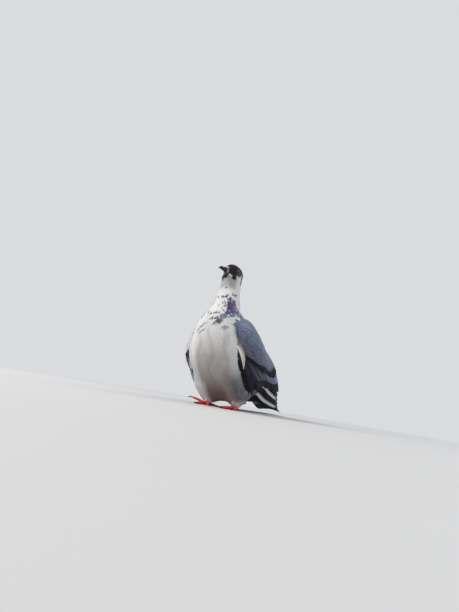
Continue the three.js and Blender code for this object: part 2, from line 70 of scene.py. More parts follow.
# The folded wing is a sheath round a straight axis that dips towards the tail.
WING_PITCH = math.radians(28)
WING_AXIS_BEHIND_BREAST = 24.2 * MM
WING_AXIS_BELOW_BACK = 33.8 * MM
WING_LENGTH = 214 * MM
TAIL_PITCH = math.radians(17)

BODY_NODES = ["head", "neck", "trunk", "thigh_left", "thigh_right"]
LEG_NODES = [f"shank_{side}" for side in SIDES]
LEG_NODES += [f"toe_{side}_{toe}" for side in SIDES for toe in TOES]
COVERT_NODES = [f"wing_{side}_coverts" for side in SIDES]
WING_LAYERS = ("coverts", "secondaries", "primaries")

# How deep the skin lies below the tips of the coat.
HEAD_COAT = 0.7 * MM
NECK_COAT = 1.2 * MM
BODY_COAT = 1.5 * MM

# Helpers -----------------------------------------------------------------------------------------


def tone(red, green, blue):
    """A colour written in ordinary 0 to 255 values, as the linear values that shaders use."""
    c = np.array([red, green, blue], float) / 255
    return np.where(c <= 0.04045, c / 12.92, ((c + 0.055) / 1.055) ** 2.4)


def unit(vectors):
    return vectors / np.maximum(np.linalg.norm(vectors, axis=-1, keepdims=True), 1e-12)


def dot(a, b):
    return np.sum(a * b, axis=-1)


def ease(x, low, high):
    """0 at low, 1 at high, smooth between. Works for low above high too."""
    t = np.clip((x - low) / (high - low), 0, 1)
    return t * t * (3 - 2 * t)


def blend(a, b, share):
    """a where share is 0, b where it is 1, for rows of colours or vectors."""
    share = np.asarray(share)[..., None]
    return a * (1 - share) + b * share


def across_flow(direction, normal):
    """The part of a direction that lies in the surface with that normal, as a unit vector."""
    return unit(direction - normal * dot(direction, normal)[..., None])


def mesh_object(name, points, quads):
    """A smooth-shaded object from an array of points and an array of quads (or triangles)."""
    mesh = bpy.data.meshes.new(name)
    mesh.vertices.add(len(points))
    mesh.vertices.foreach_set("co", np.asarray(points, np.float32).ravel())
    mesh.loops.add(quads.size)
    mesh.loops.foreach_set("vertex_index", np.asarray(quads, np.int32).ravel())
    mesh.polygons.add(len(quads))
    starts = np.arange(0, quads.size, quads.shape[1], dtype=np.int32)
    mesh.polygons.foreach_set("loop_start", starts)
    mesh.update(calc_edges=True)
    mesh.polygons.foreach_set("use_smooth", np.ones(len(quads), bool))
    thing = bpy.data.objects.new(name, mesh)
    bpy.context.scene.collection.objects.link(thing)
    return thing


def give_colours(thing, colours, gloss=0.0):
    """Writes a linear colour for each vertex, and its gloss as alpha, which the materials read."""
    values = np.empty((len(colours), 4), np.float32)
    values[:, :3] = np.clip(colours, 0, 1)
    values[:, 3] = gloss
    attribute = thing.data.color_attributes.new("Plumage", "FLOAT_COLOR", "POINT")
    attribute.data.foreach_set("color", values.ravel())


def give_uv(thing, name, places):
    """Writes a UV map from one place for each vertex."""
    layer = thing.data.uv_layers.new(name=name)
    corners = np.empty(len(thing.data.loops), np.int32)
    thing.data.loops.foreach_get("vertex_index", corners)
    layer.data.foreach_set("uv", np.asarray(places, np.float32)[corners].ravel())


def finish_piece(thing, material, slot, *replaced):
    """Gives a piece its material, the bird's only body and the CAD nodes it stands for. Its slot is not
    used.
    """
    thing.data.materials.append(material)
    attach(thing, "root")
    if replaced:
        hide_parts(*replaced)


def grid_quads(grid):
    """The quads between the rows and columns of a grid of point numbers."""
    corners = [grid[:-1, :-1], grid[:-1, 1:], grid[1:, 1:], grid[1:, :-1]]
    return np.stack([corner.ravel() for corner in corners], axis=1)


def tree_over(points, faces):
    return BVHTree.FromPolygons(points.tolist(), faces.tolist())


def distance_to(tree, points):
    return np.array([tree.find_nearest(point)[3] for point in points.tolist()])


def reshuffled(chance, factor):
    """Another evenly spread chance, made from the first."""
    return (chance * factor) % 1


# Surfaces ----------------------------------------------------------------------------------------


def node_arrays(names):
    """Points and triangles of CAD nodes, with doubled corners merged."""
    points = []
    faces = []
    base = 0
    for name in names:
        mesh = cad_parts[name].data
        mesh.calc_loop_triangles()
        co = np.empty(len(mesh.vertices) * 3)
        mesh.vertices.foreach_get("co", co)
        tri = np.empty(len(mesh.loop_triangles) * 3, np.int64)
        mesh.loop_triangles.foreach_get("vertices", tri)
        points.append(co.reshape(-1, 3))
        faces.append(tri.reshape(-1, 3) + base)
        base += len(mesh.vertices)
    points = np.vstack(points)
    merged, home = np.unique(np.round(points, 7), axis=0, return_inverse=True)
    return merged, home.reshape(-1)[np.vstack(faces)]


def point_normals(points, faces):
    """Area-weighted normals at the points of a mesh of triangles or quads."""
    normal = np.cross(
        points[faces[:, 2]] - points[faces[:, 0]],
        points[faces[:, -1]] - points[faces[:, 1]],
    )
    total = np.zeros_like(points)
    for corner in range(faces.shape[1]):
        for axis in range(3):
            total[:, axis] += np.bincount(faces[:, corner], normal[:, axis], len(points))
    return unit(total)


PULL_IN = 0.6
PUSH_BACK = 0.62


def relaxed(points, faces, rounds):
    """Smooths a mesh without shrinking it, by steps that pull in and then push back out."""
    near = np.roll(faces, -1, axis=1).ravel()
    here = faces.ravel()
    count = np.maximum(np.bincount(here, minlength=len(points)), 1)[:, None]
    for turn in range(2 * rounds):
        mean = np.empty_like(points)
        for axis in range(3):
            mean[:, axis] = np.bincount(here, points[near, axis], len(points))
        step = PULL_IN if turn % 2 == 0 else -PUSH_BACK
        points = points + (mean / count - points) * step
    return points


def stacked(parts):
    """Several meshes, each points and triangles, as one."""
    starts = np.cumsum([0] + [len(points) for points, _ in parts])
    faces = [faces + start for (_, faces), start in zip(parts, starts)]
    return np.vstack([points for points, _ in parts]), np.vstack(faces)


def fused_arrays(points, faces, grow, voxel, rounds):
    """One smooth closed mesh over solids: grown to close the cuts, remeshed, then shrunk back."""
    points = points + point_normals(points, faces) * grow
    rough = mesh_object("rough", points, faces)
    remesh = rough.modifiers.new("voxels", "REMESH")
    remesh.mode = "VOXEL"
    remesh.voxel_size = voxel
    made = rough.evaluated_get(bpy.context.evaluated_depsgraph_get()).to_mesh()
    points = np.empty(len(made.vertices) * 3)
    made.vertices.foreach_get("co", points)
    points = points.reshape(-1, 3)
    quads = np.empty(len(made.loops), np.int64)
    made.loops.foreach_get("vertex_index", quads)
    quads = quads.reshape(-1, 4)
    bpy.data.objects.remove(rough)
    points = relaxed(points, quads, rounds)
    return points - point_normals(points, quads) * grow, quads


def fused(names, grow, voxel, rounds):
    return fused_arrays(*node_arrays(names), grow, voxel, rounds)


class Surface:
    """A closed mesh that can be asked for its nearest point and the smooth normal there."""

    def __init__(self, points, quads):
        self.points = points
        self.quads = quads
        self.tree = tree_over(points, quads)
        self.normals = unit(point_normals(points, quads)[quads].mean(axis=1))

    def nearest(self, places):
        flat = np.asarray(places).reshape(-1, 3)
        hits = [self.tree.find_nearest(p) for p in flat.tolist()]
        spots = np.array([hit[0] for hit in hits])
        faces = np.array([hit[2] for hit in hits])
        return spots.reshape(places.shape), self.normals[faces].reshape(places.shape)


# The frames of the head, the wings and the tail --------------------------------------------------

box = {name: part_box(name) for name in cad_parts}
eye_centre = {side: np.array((box[f"eye_{side}"][0] + box[f"eye_{side}"][1]) / 2) for side in SIDES}
turn = Matrix.Rotation(HEAD_YAW, 3, "Z") @ Matrix.Rotation(-HEAD_PITCH, 3, "X")
head_forward = np.array(turn @ Vector((0, -1, 0)))
head_up = np.array(turn @ Vector((0, 0, 1)))
head_left = np.cross(head_up, head_forward)
head_centre = (eye_centre["left"] + eye_centre["right"]) / 2
head_centre = head_centre - head_forward * EYE_FORWARD - head_up * EYE_UP


def in_head(points):
    """Forward, left and up distances from the middle of the head, in millimetres."""
    away = (points - head_centre) / MM
    return away @ head_forward, away @ head_left, away @ head_up


def at_head(forward, left, up):
    """The place at those distances from the middle of the head, in millimetres."""
    return head_centre + MM * (forward * head_forward + left * head_left + up * head_up)


def tailward(pitch):
    """The direction towards the tail at a pitch, and the direction square above it."""
    back = np.array([0, math.cos(pitch), -math.sin(pitch)])
    up = np.array([0, math.sin(pitch), math.cos(pitch)])
    return back, up


breast = box["trunk"][0].y
back_top = box["trunk"][1].z
neck_foot = box["neck"][0].z
neck_top = box["head"][0].z
WING_BACK, WING_UP = tailward(WING_PITCH)
WING_AXIS = np.array([0, breast + WING_AXIS_BEHIND_BREAST, back_top - WING_AXIS_BELOW_BACK])
TAIL_BACK, TAIL_UP = tailward(TAIL_PITCH)
TRUNK_BACK, _ = tailward(math.radians(35))
DOWN = np.array([0, 0, -1.0])

# The flow of the coat ----------------------------------------------------------------------------


def flow(points):
    """Which way the coat lies: back over the head, down the neck, then tailward over the trunk."""
    z = points[:, 2]
    on_head = ease(z, neck_top - 4 * MM, neck_top + 12 * MM)
    below_crown = ease(z, head_centre[2] + 8 * MM, head_centre[2] - 14 * MM)
    head_way = -head_forward + DOWN * (0.15 + 0.9 * below_crown[:, None])
    neck_way = np.tile(unit(DOWN + np.array([0, 0.22, 0])), (len(points), 1))
    on_trunk = ease(z, neck_foot + 12 * MM, neck_foot - 32 * MM)
    trunk_way = np.tile(TRUNK_BACK, (len(points), 1))
    way = blend(neck_way, trunk_way, on_trunk)
    way = blend(way, head_way, on_head)
    at_leg = ease(z, 34 * MM, 16 * MM) * ease(np.abs(points[:, 0]), 12 * MM, 22 * MM)
    at_leg = at_leg * ease(points[:, 1], -10 * MM, -30 * MM)
    return unit(blend(way, DOWN + np.array([0, 0.25, 0]), at_leg))


SPINE = np.array([
    [0, breast + 22 * MM, head_centre[2] - 2 * MM],
    [0, head_centre[1], head_centre[2] - 4 * MM],
    [0, head_centre[1] - 2 * MM, neck_foot + 12 * MM],
    [0, breast + 70 * MM, 76 * MM],
    [0, box["tail"][0].y + 20 * MM, 46 * MM],
    [0, box["tail"][1].y, 14 * MM],
])


def unwrap(points):
    """Places on an unwrap of the skin: the angle round the spine, and the distance along it."""
    best = np.full(len(points), np.inf)
    along = np.zeros(len(points))
    round_it = np.zeros(len(points))
    walked = 0.0
    total = np.linalg.norm(np.diff(SPINE, axis=0), axis=1).sum()
    for start, end in zip(SPINE[:-1], SPINE[1:]):
        span = np.linalg.norm(end - start)
        way = (end - start) / span
        share = np.clip((points - start) @ way / span, 0, 1)
        away = points - start - share[:, None] * (end - start)
        far = np.linalg.norm(away, axis=1)
        nearer = far < best
        up = np.cross(np.array([1.0, 0, 0]), way)
        angle = np.arctan2(away[:, 0], away @ up) / (2 * math.pi) + 0.5
        best = np.where(nearer, far, best)
        along = np.where(nearer, (walked + share * span) / total, along)
        round_it = np.where(nearer, angle, round_it)
        walked += span
    return np.stack([0.02 + 0.96 * round_it, 0.02 + 0.96 * along], axis=1)


# Markings ----------------------------------------------------------------------------------------

WHITE = tone(232, 231, 230)
# Cream and warm grey are the belly's own tints with painted shade of the underside mixed in.
CREAM_AND_PAINTED_SHADE = tone(184, 177, 171)
WARM_GREY_AND_PAINTED_SHADE = tone(132, 114, 106)
SLATE = tone(62, 65, 80)
DARK_SLATE = tone(50, 52, 64)
INK = tone(13, 13, 21)
BROWN = tone(50, 28, 27)
BLUE_GREY = tone(120, 128, 145)
PALE_GREY = tone(186, 193, 206)
PURPLE = tone(52, 32, 76)
GREEN = tone(50, 70, 88)

# Spots on the breast and neck in millimetres, each with its radius.
FLECKS = [
    ((-2.2, -124.7, 126.7), 1.5), ((2.4, -124.6, 127.4), 1.2), ((6.5, -123.5, 127.7), 1.5),
    ((10.5, -121.9, 128.6), 1.1), ((-6.4, -124.0, 125.4), 1.1),
    ((-0.6, -127.0, 117.4), 1.4), ((3.7, -126.8, 118.3), 1.8), ((8.0, -126.2, 119.2), 1.4),
    ((12.3, -124.8, 120.4), 1.8), ((14.2, -118.3, 134.3), 1.5), ((12.3, -113.6, 141.9), 1.6),
    ((11.0, -117.8, 138.0), 1.2), ((10.2, -111.4, 148.0), 1.3),
    ((2.3, -110.1, 158.9), 1.5), ((8.2, -108.1, 159.4), 1.6), ((5.4, -109.6, 158.0), 1.0),
    ((15.3, -100.5, 164.5), 1.5), ((17.4, -96.3, 164.5), 1.4), ((13.9, -105.0, 157.4), 1.3),
    ((-2.0, -101.0, 189.0), 2.4), ((1.6, -101.4, 186.0), 1.8), ((5.2, -101.1, 181.7), 2.0),
    ((2.7, -104.0, 175.5), 1.7), ((-3.4, -102.5, 181.0), 1.6), ((7.4, -99.4, 176.6), 1.2),
    ((-5.2, -109.6, 158.4), 1.4), ((-12.4, -105.3, 160.0), 1.4), ((-9.6, -121.8, 129.4), 1.4),
]
# Greyer ovals where the collar breaks up on the breast: centre, half length and half height.
OVALS = [
    ((13.4, -125.7, 112.8), 7.6, 3.6, 0.95),
    ((23.9, -121.3, 106.4), 5.4, 2.8, 0.6),
    ((-6.8, -127.5, 111.0), 5.4, 1.3, 0.85),
    ((-12.7, -126.6, 106.8), 4.2, 1.3, 0.85),
    ((-11.0, -127.2, 99.6), 7.4, 1.2, 0.8),
    ((-21.5, -123.0, 101.8), 4.0, 1.3, 0.75),
]


def near(points, centre, radius, soft=0.35):
    """1 within a radius of a centre, falling to 0 over a soft share of that radius."""
    far = np.linalg.norm(points - np.asarray(centre), axis=1)
    return ease(far, radius * (1 + soft), radius * (1 - soft))


def neck_turn(points):
    """How far round the neck a point is, in degrees: 0 in front, 90 at either side."""
    return np.degrees(np.arctan2(np.abs(points[:, 0]), head_centre[1] - 5 * MM - points[:, 1]))


def below_collar(points):
    """Millimetres below the collar, a band that dips at the breast and rises round the neck."""
    x, y, z = points.T / MM
    return 136.2 + 0.5 * np.abs(x) + 0.18 * y - z


def neck_marks(points, chance, colour):
    """The iridescent patch at each side of the neck with a few painted glints, the collar under it, and the
    flecks.
    """
    x, _, z = points.T / MM
    turn = neck_turn(points)
    below = below_collar(points)
    rear = 69 + np.clip(154 - z, 0, None)
    patch = ease(z, 158, 153) * ease(below, -1.5, -4.5) * ease(turn, 30, 38) * ease(turn, rear + 5, rear - 3)
    shown = ease(patch, 0.2 + 0.72 * chance, 0.28 + 0.72 * chance)
    mottled = np.where(reshuffled(chance, 7.3) < 0.07, 0.4, 1.0)
    # A few paler lavender feathers in the patch are painted glints on the purple.
    sheen = blend(PURPLE, tone(100, 88, 146), reshuffled(chance, 3.1) ** 2)
    colour = blend(colour, sheen, shown * mottled * 0.96)

    band = ease(np.abs(below - 0.3), 5.4, 3.8) * (ease(x, 7, 12) + ease(-x, 17, 22))
    edges = ease(np.abs(below - 0.3), 1.2, 3.0)
    tint = blend(tone(104, 120, 146), GREEN, edges)
    colour = blend(colour, tint, band * np.where(reshuffled(chance, 5.7) < 0.9, 0.95, 0.2))
    gloss = np.maximum(shown * mottled, 0.7 * band)

    for place, half_long, half_high, depth in OVALS:
        away = points / MM - np.array(place)
        level = away[:, 2] - 0.42 * away[:, 0]
        far = np.hypot(np.hypot(away[:, 0], away[:, 1]) / half_long, level / half_high)
        colour = blend(colour, SLATE, depth * ease(far, 1.25, 0.8))
    for place, radius in FLECKS:
        colour = blend(colour, INK, 0.95 * near(points, np.array(place) * MM, 1.2 * radius * MM, 0.25))
    nape = ease(turn, 112, 150) * ease(z, 136, 150) * ease(z, 200, 190)
    colour = blend(colour, tone(104, 98, 120), nape * (0.2 + 0.35 * ease(chance, 0.55, 0.15)))
    stray = (z > 120) & (z < 186) & (chance > 0.965)
    return blend(colour, SLATE, stray * 0.8), gloss


def head_marks(points, chance, colour):
    """A dark crown and nape, a dark band down each cheek, a dark chin, brown round the eyes, painted shade
    on the throat and painted highlights on the crown.
    """
    forward, left, up = in_head(points)
    side = np.abs(left)
    # A grey wash on the throat under the bill: painted shade.
    throat = ease(forward, 0, 6) * ease(up, -36, -27) * ease(up, -9, -14)
    colour = blend(colour, tone(152, 147, 146), 0.7 * throat)

    crown_edge = 3.4 - 2.6 * ease(forward, 9, 15) - 3.0 * ease(forward, -2, -8)
    crown = ease(up, crown_edge - 0.6, crown_edge + 0.8)
    # The band runs down the cheek from the crown and ends in a round spot.
    ahead = forward - (8.9 + 0.62 * (up + 12.0))
    wide = 3.6 + 2.6 * ease(up, -10, -3)
    band = ease(ahead, wide + 1.0, wide - 0.2) * ease(ahead, -wide - 2.4, -wide) * ease(side, 4.6, 6.0)
    band = band * ease(up, -13.5, -11.5) * (up < 6)
    spots = [near(points, at_head(8.7, way * 10.6, -12.9), 4.3 * MM, 0.18) for way in SIDES.values()]
    chin = near(points, at_head(19.0, 0, -9.4), 7.0 * MM, 0.14)
    stroke = ease(np.abs(left + 5.2), 3.0, 2.0) * ease(forward, 7, 10) * ease(up, -29, -26) * (up < -10)
    lores = ease(up, -9.0, -7.6) * ease(forward, 5, 7)
    nape = ease(forward, -4.5, -7.5) * ease(up, -19, -11) * np.where(chance < 0.88, 1.0, 0.3)
    dark = np.maximum.reduce([crown, band, *spots, chin, stroke, lores, nape])
    # Some crown feathers stay paler than the rest: painted highlights of gloss on the dark crown.
    pale = (reshuffled(chance, 11.7) < 0.10) & (side > 5) & (up > 5) & (forward < 9)
    colour = blend(colour, INK, dark * ease(up, -20, -17) * np.where(pale, 0.72, 0.98))
    for way in SIDES.values():
        eye_round = near(points, at_head(3.4, way * 11.0, 0.6), 8.4 * MM, 0.16)
        colour = blend(colour, BROWN, 0.93 * eye_round * ease(up, 7.5, 4.5))
    paler_chin = near(points, at_head(19.4, 1.5, -10.4), 2.6 * MM, 0.3)
    colour = blend(colour, tone(96, 84, 80), 0.8 * paler_chin)
    # A white streak runs down along the corner of the mouth.
    face = np.flatnonzero((forward > 9) & (up > -12) & (up < 0))
    streak = np.zeros(len(points))
    streak[face] = ease(distance_to(bill_tree, points[face]) / MM, 2.7, 1.9) * (side[face] > 2)
    streak = streak * ease(up, -11, -9.5) * ease(up, -0.8, -2.2)
    return blend(colour, tone(226, 222, 220), 0.95 * streak)


def body_marks(points, chance, colour):
    """Cream and warm grey under the belly, partly its own colour and partly painted shade, painted shade in
    soft folds and between the legs, grey flanks, a grey shoulder, back and dark vent.
    """
    x, y, z = points.T / MM
    middle = ease(x, -28, -9) * ease(x, 44, 24)
    # The belly turns cream downwards: partly its own colour, partly painted shade on the underside.
    belly = ease(z, 106, 62) * middle * ease(y, -60, -80)
    colour = blend(colour, CREAM_AND_PAINTED_SHADE, 0.85 * belly)
    # Soft wavy warm grey streaks: painted shade in the creases between folds of the belly feathers.
    folds = np.sin(x / 3.4 + 1.4 * np.sin(z / 15) + 0.8 * np.sin(z / 7 + x / 9))
    colour = blend(colour, WARM_GREY_AND_PAINTED_SHADE, 0.22 * ease(folds, 0.2, 1.0) * ease(z, 112, 96) * ease(y, -60, -80))
    # Warm grey low on the belly near the legs: its own tint deepened by painted shade.
    low = ease(z, 60, 26) * ease(y, -116, -88) * middle
    colour = blend(colour, WARM_GREY_AND_PAINTED_SHADE, 0.62 * low)
    # Dark warm brown between the legs: painted shade under the belly.
    inner = ease(z, 36, 16) * ease(np.abs(x), 22, 12) * ease(y, -104, -84)
    colour = blend(colour, tone(108, 80, 76), 0.7 * inner)
    flank = ease(x, 20, 33) * ease(z, 66, 30) * ease(z, 9, 16) * ease(y, -112, -86)
    colour = blend(colour, tone(98, 97, 106), flank * (0.8 + 0.12 * chance))
    edge = 31.0 + 0.34 * (118 - z) + 1.3 * np.clip(z - 115, 0, None)
    shoulder = ease(x, edge - 1.6, edge + 2.2) * ease(z, 128.5, 126.0) * ease(z, 62, 76)
    shoulder_tint = blend(tone(112, 119, 138), tone(60, 62, 74), ease(z, 118, 96))
    colour = blend(colour, shoulder_tint, shoulder * (x > 0) * ease(y, -20, -60))
    right_back = ease(y, -88, -70) * ease(z, 84, 104) * (below_collar(points) > 0)
    colour = blend(colour, BLUE_GREY, right_back)
    rump = ease(y, 2, 16) * (below_collar(points) > 0)
    colour = blend(colour, BLUE_GREY, 0.9 * rump)
    vent = ease(y, -62, -50) * ease(z + 0.55 * y, 62, 50)
    return blend(colour, DARK_SLATE, vent * (0.86 + 0.1 * chance))


def markings(points, chance):
    """The plumage's colour and gloss at points; chance, 0 to 1 for each, settles scattered flecks."""
    colour = body_marks(points, chance, WHITE)
    colour, gloss = neck_marks(points, chance, colour)
    return head_marks(points, chance, colour), gloss


# The skin ----------------------------------------------------------------------------------------

# How far the solids are grown before they fuse, so that the thin cuts between them close.
CUT_GROWTH = 0.6 * MM
WING_GROWTH = 1.2 * MM
LEG_GROWTH = 0.25 * MM
FLESH_VOXEL = 1.6 * MM
SKIN_VOXEL = 1.15 * MM
LEG_VOXEL = 0.45 * MM


def coat_depth(points):
    """How far the skin lies below the coat's tips."""
    z = points[:, 2]
    depth = HEAD_COAT + (NECK_COAT - HEAD_COAT) * ease(z, neck_top + 2 * MM, neck_top - 14 * MM)
    return depth + (BODY_COAT - NECK_COAT) * ease(z, neck_foot + 20 * MM, neck_foot - 20 * MM)


BELLY_HANGS = 6.5 * MM
THROAT_FILLS = 3.2 * MM
# How far the thigh feathers would stand out and hang down at full fluff, and how full each side is.
FLUFF_OUT = 5.0 * MM
FLUFF_DOWN = 6.0 * MM
FLUFF_SHARE = {"left": 0.3, "right": 0.6}


def with_loose_coat(points, quads):
    """The coat's outer surface: looser than the flesh on the throat, thighs and between the legs."""
    x, y, z = points.T / MM
    normals = point_normals(points, quads)
    under = ease(y, -106, -86) * ease(y, -26, -46)
    hang = ease(np.abs(x), 27, 12) * ease(z, 38, 20) * under * ease(normals[:, 2], 0.1, -0.7)
    forward, _, up = in_head(points)
    full = ease(forward, 3, 11) * ease(up, -38, -26) * ease(up, -7, -11)
    fluff = ease(np.abs(x), 14, 26) * ease(z, 74, 24) * ease(y, -106, -86) * ease(y, -38, -56)
    fluff = fluff * np.where(x < 0, FLUFF_SHARE["right"], FLUFF_SHARE["left"])
    moved = points + normals * (THROAT_FILLS * full)[:, None]
    moved[:, 0] += np.sign(x) * FLUFF_OUT * fluff
    moved[:, 2] -= FLUFF_DOWN * fluff * ease(z, 34, 14) + BELLY_HANGS * hang
    return moved, quads


flesh = Surface(*fused(BODY_NODES, CUT_GROWTH, FLESH_VOXEL, 26))
hull = Surface(*with_loose_coat(flesh.points, flesh.quads))
legs_hull = Surface(*fused(LEG_NODES, LEG_GROWTH, LEG_VOXEL, 6))


WING_FLESH = 0.35


def fleshy(name):
    """A wing's covert node drawn in towards the body, since its outer part is feathers.

    Where the wing stands off the body, the skin crosses the gap outside both solids.
    """
    points, faces = node_arrays([name])
    spots, _ = flesh.nearest(points)
    return spots + (points - spots) * WING_FLESH, faces


def make_skin():
    """One mesh for all the flesh: the fused solids, drawn in by the coat's depth, bare on the legs."""
    parts = [node_arrays(BODY_NODES + LEG_NODES)] + [fleshy(name) for name in COVERT_NODES]
    points, quads = fused_arrays(*stacked(parts), WING_GROWTH, SKIN_VOXEL, 6)
    spot, _ = flesh.nearest(points)
    off_body = np.linalg.norm(points - spot, axis=1)
    leg_spot, _ = legs_hull.nearest(points)
    off_leg = np.linalg.norm(points - leg_spot, axis=1)
    bare = ease(off_leg - off_body, 0.4 * MM, -0.4 * MM) * ease(points[:, 2], 22 * MM, 16 * MM)
    depth = coat_depth(points) * (1 - bare)
    drawn = points - point_normals(points, quads) * depth[:, None]
    return blend(drawn, leg_spot, bare), quads


# Vanes -------------------------------------------------------------------------------------------


class Vane:
    """The pattern of one feather: a closed lens of a few rows and columns with a rounded tip."""

    def __init__(self, stations, widths, columns):
        self.along = np.array(stations, float)
        self.width = np.array(widths, float)
        self.across = np.linspace(-1, 1, columns)
        rows = len(stations)
        top = np.arange(rows * columns).reshape(rows, columns)
        bottom = top.copy()
        inner = (rows - 2) * (columns - 2)
        bottom[1:-1, 1:-1] = rows * columns + np.arange(inner).reshape(rows - 2, columns - 2)
        self.quads = np.vstack([grid_quads(top), grid_quads(bottom)[:, ::-1]])
        self.count = rows * columns + inner
        border = np.ones((rows, columns), bool)
        border[1:-1, 1:-1] = False
        self.rim = np.zeros(self.count, bool)
        self.rim[: rows * columns] = border.ravel()

    def pattern(self, count):
        """Each point's place across and along its vane, before the vane's width is applied."""
        places = np.stack(np.meshgrid(self.across, self.along, indexing="xy"), axis=-1)
        return np.tile(places[None], (count, 1, 1, 1))

    def both_sides(self, top, bottom):
        """Joins grids (feathers, rows, columns, n) of the top and bottom into vertex rows."""
        count, _, _, wide = top.shape
        upper = top.reshape(count, -1, wide)
        lower = bottom[:, 1:-1, 1:-1].reshape(count, -1, wide)
        return np.concatenate([upper, lower], axis=1)

    def all_quads(self, feathers):
        shift = np.arange(feathers)[:, None, None] * self.count
        return (self.quads[None] + shift).reshape(-1, 4)


BACK_VANE = Vane([0, 0.28, 0.55, 0.77, 0.92, 1.0], [0.35, 0.8, 1.0, 0.92, 0.64, 0.22], 5)
BODY_VANE = Vane([0, 0.3, 0.58, 0.8, 0.93, 1.0], [0.4, 0.85, 1.0, 0.88, 0.58, 0.12], 4)
FACE_VANE = Vane([0, 0.35, 0.75, 1.0], [0.5, 1.0, 0.78, 0.16], 4)


# The side of the small patch that each contour feather takes on the OFBake map.
PATCH = 3.0e-3


def feather_piece(name, vane, top, bottom, colours, roots, gloss=None, columns=None):
    """Joins feathers into one object with colours, the OFBake map and a map of the vane."""
    count = len(top)
    points = vane.both_sides(top, bottom).reshape(-1, 3)
    thing = mesh_object(name, points, vane.all_quads(count))
    shine = 0.0 if gloss is None else np.repeat(gloss, vane.count)
    give_colours(thing, vane.both_sides(colours, colours).reshape(-1, 3), shine)
    local = vane.pattern(count)
    local[..., 0] *= vane.width[None, :, None]
    local = vane.both_sides(local, local)
    if columns:
        places = strips(vane, count, columns)
    else:
        places = unwrap(roots)[:, None] + (local - np.array([0, 0.5])) * np.array([0.5, 1.0]) * PATCH
    give_uv(thing, "OFBake", places.reshape(-1, 2))
    give_uv(thing, "Vane", local.reshape(-1, 2))
    mark_rims(thing, vane, count)
    return thing


def strips(vane, count, columns):
    """A strip of its own on the OFBake map for each big feather, which its two faces share."""
    rows = math.ceil(count / columns)
    number = np.arange(count)
    corner = np.stack([(number % columns) / columns, (number // columns) / rows], axis=1)
    local = vane.pattern(count)
    local[..., 0] = (local[..., 0] * 0.9 + 1) / 2
    local[..., 1] = 0.03 + 0.94 * local[..., 1]
    local = vane.both_sides(local, local) * np.array([1 / columns, 1 / rows])
    return local + corner[:, None]


def mark_rims(thing, vane, count):
    """Makes the border of every vane a sharp edge, so its top shades as a thin flat blade."""
    mesh = thing.data
    ends = np.empty(len(mesh.edges) * 2, np.int64)
    mesh.edges.foreach_get("vertices", ends)
    rim = np.tile(vane.rim, count)[ends.reshape(-1, 2)].all(axis=1)
    sharp = mesh.attributes.new("sharp_edge", "BOOLEAN", "EDGE")
    sharp.data.foreach_set("value", rim)


# Contour feathers --------------------------------------------------------------------------------

# For each tract: the gap between roots, the length and half width in gaps, and how deep roots sit.
Tract = namedtuple("Tract", "gap length width sink thick crown")
TRACTS = {
    "face": Tract(0.80 * MM, 3.6, 0.74, 0.20 * MM, 0.04 * MM, 0.02 * MM),
    "head": Tract(0.95 * MM, 4.0, 0.74, 0.24 * MM, 0.05 * MM, 0.02 * MM),
    "nape": Tract(1.20 * MM, 4.8, 0.78, 0.32 * MM, 0.05 * MM, 0.03 * MM),
    "neck": Tract(1.45 * MM, 5.6, 0.80, 0.38 * MM, 0.06 * MM, 0.03 * MM),
    "breast": Tract(1.70 * MM, 6.4, 0.84, 0.42 * MM, 0.06 * MM, 0.04 * MM),
    "belly": Tract(1.80 * MM, 7.0, 0.84, 0.46 * MM, 0.06 * MM, 0.04 * MM),
    "back": Tract(2.80 * MM, 5.0, 0.82, 0.80 * MM, 0.12 * MM, 0.08 * MM),
}


def tract_of(points):
    """The number of the tract that each point belongs to, in the order of TRACTS."""
    _, y, z = points.T / MM
    forward, _, up = in_head(points)
    kind = np.full(len(points), 5)
    kind[z > 74] = 4
    kind[below_collar(points) < 0] = 3
    kind[(z < 118) & (y > -70)] = 6
    kind[(z >= 118) & (below_collar(points) >= 0) & (y > -80)] = 6
    kind[(y > -5) & (z > 32)] = 6
    kind[z > 168] = 2
    kind[up > -17] = 1
    kind[(up > -14) & (forward > 2)] = 0
    return kind


TRIES_PER_ROOT = 7


def scatter(surface, allowed, gap, seed):
    """Roots spread over the faces that are allowed, none nearer than the gap to another."""
    rng = np.random.default_rng(seed)
    quads = surface.quads[allowed]
    tri = np.vstack([quads[:, [0, 1, 2]], quads[:, [0, 2, 3]]])
    a, b, c = (surface.points[tri[:, k]] for k in range(3))
    areas = np.linalg.norm(np.cross(b - a, c - a), axis=1) / 2
    tries = int(areas.sum() / gap**2 * TRIES_PER_ROOT)
    pick = rng.choice(len(tri), tries, p=areas / areas.sum())
    s, t = rng.random((2, tries))
    over = s + t > 1
    s, t = np.where(over, 1 - s, s)[:, None], np.where(over, 1 - t, t)[:, None]
    places = a[pick] + (b - a)[pick] * s + (c - a)[pick] * t
    taken = {}
    kept = []
    for place in places.tolist():
        cell = tuple(int(v // gap) for v in place)
        if is_free(place, cell, gap, taken):
            taken.setdefault(cell, []).append(place)
            kept.append(place)
    return np.array(kept)


NEIGHBOURS = [(i, j, k) for i in (-1, 0, 1) for j in (-1, 0, 1) for k in (-1, 0, 1)]


def is_free(place, cell, gap, taken):
    for step in NEIGHBOURS:
        for other in taken.get((cell[0] + step[0], cell[1] + step[1], cell[2] + step[2]), ()):
            if sum((p - q) ** 2 for p, q in zip(place, other)) < gap * gap:
                return False
    return True


# How far out a wing is looked for, and how near it has to be to hide a root under its front.
WING_SEARCH = 14 * MM
CLOSE_WING = 3.5 * MM
# How far behind the wing's axis the sheath runs on over the body, round the wrist.
WRIST_REACH = 34 * MM


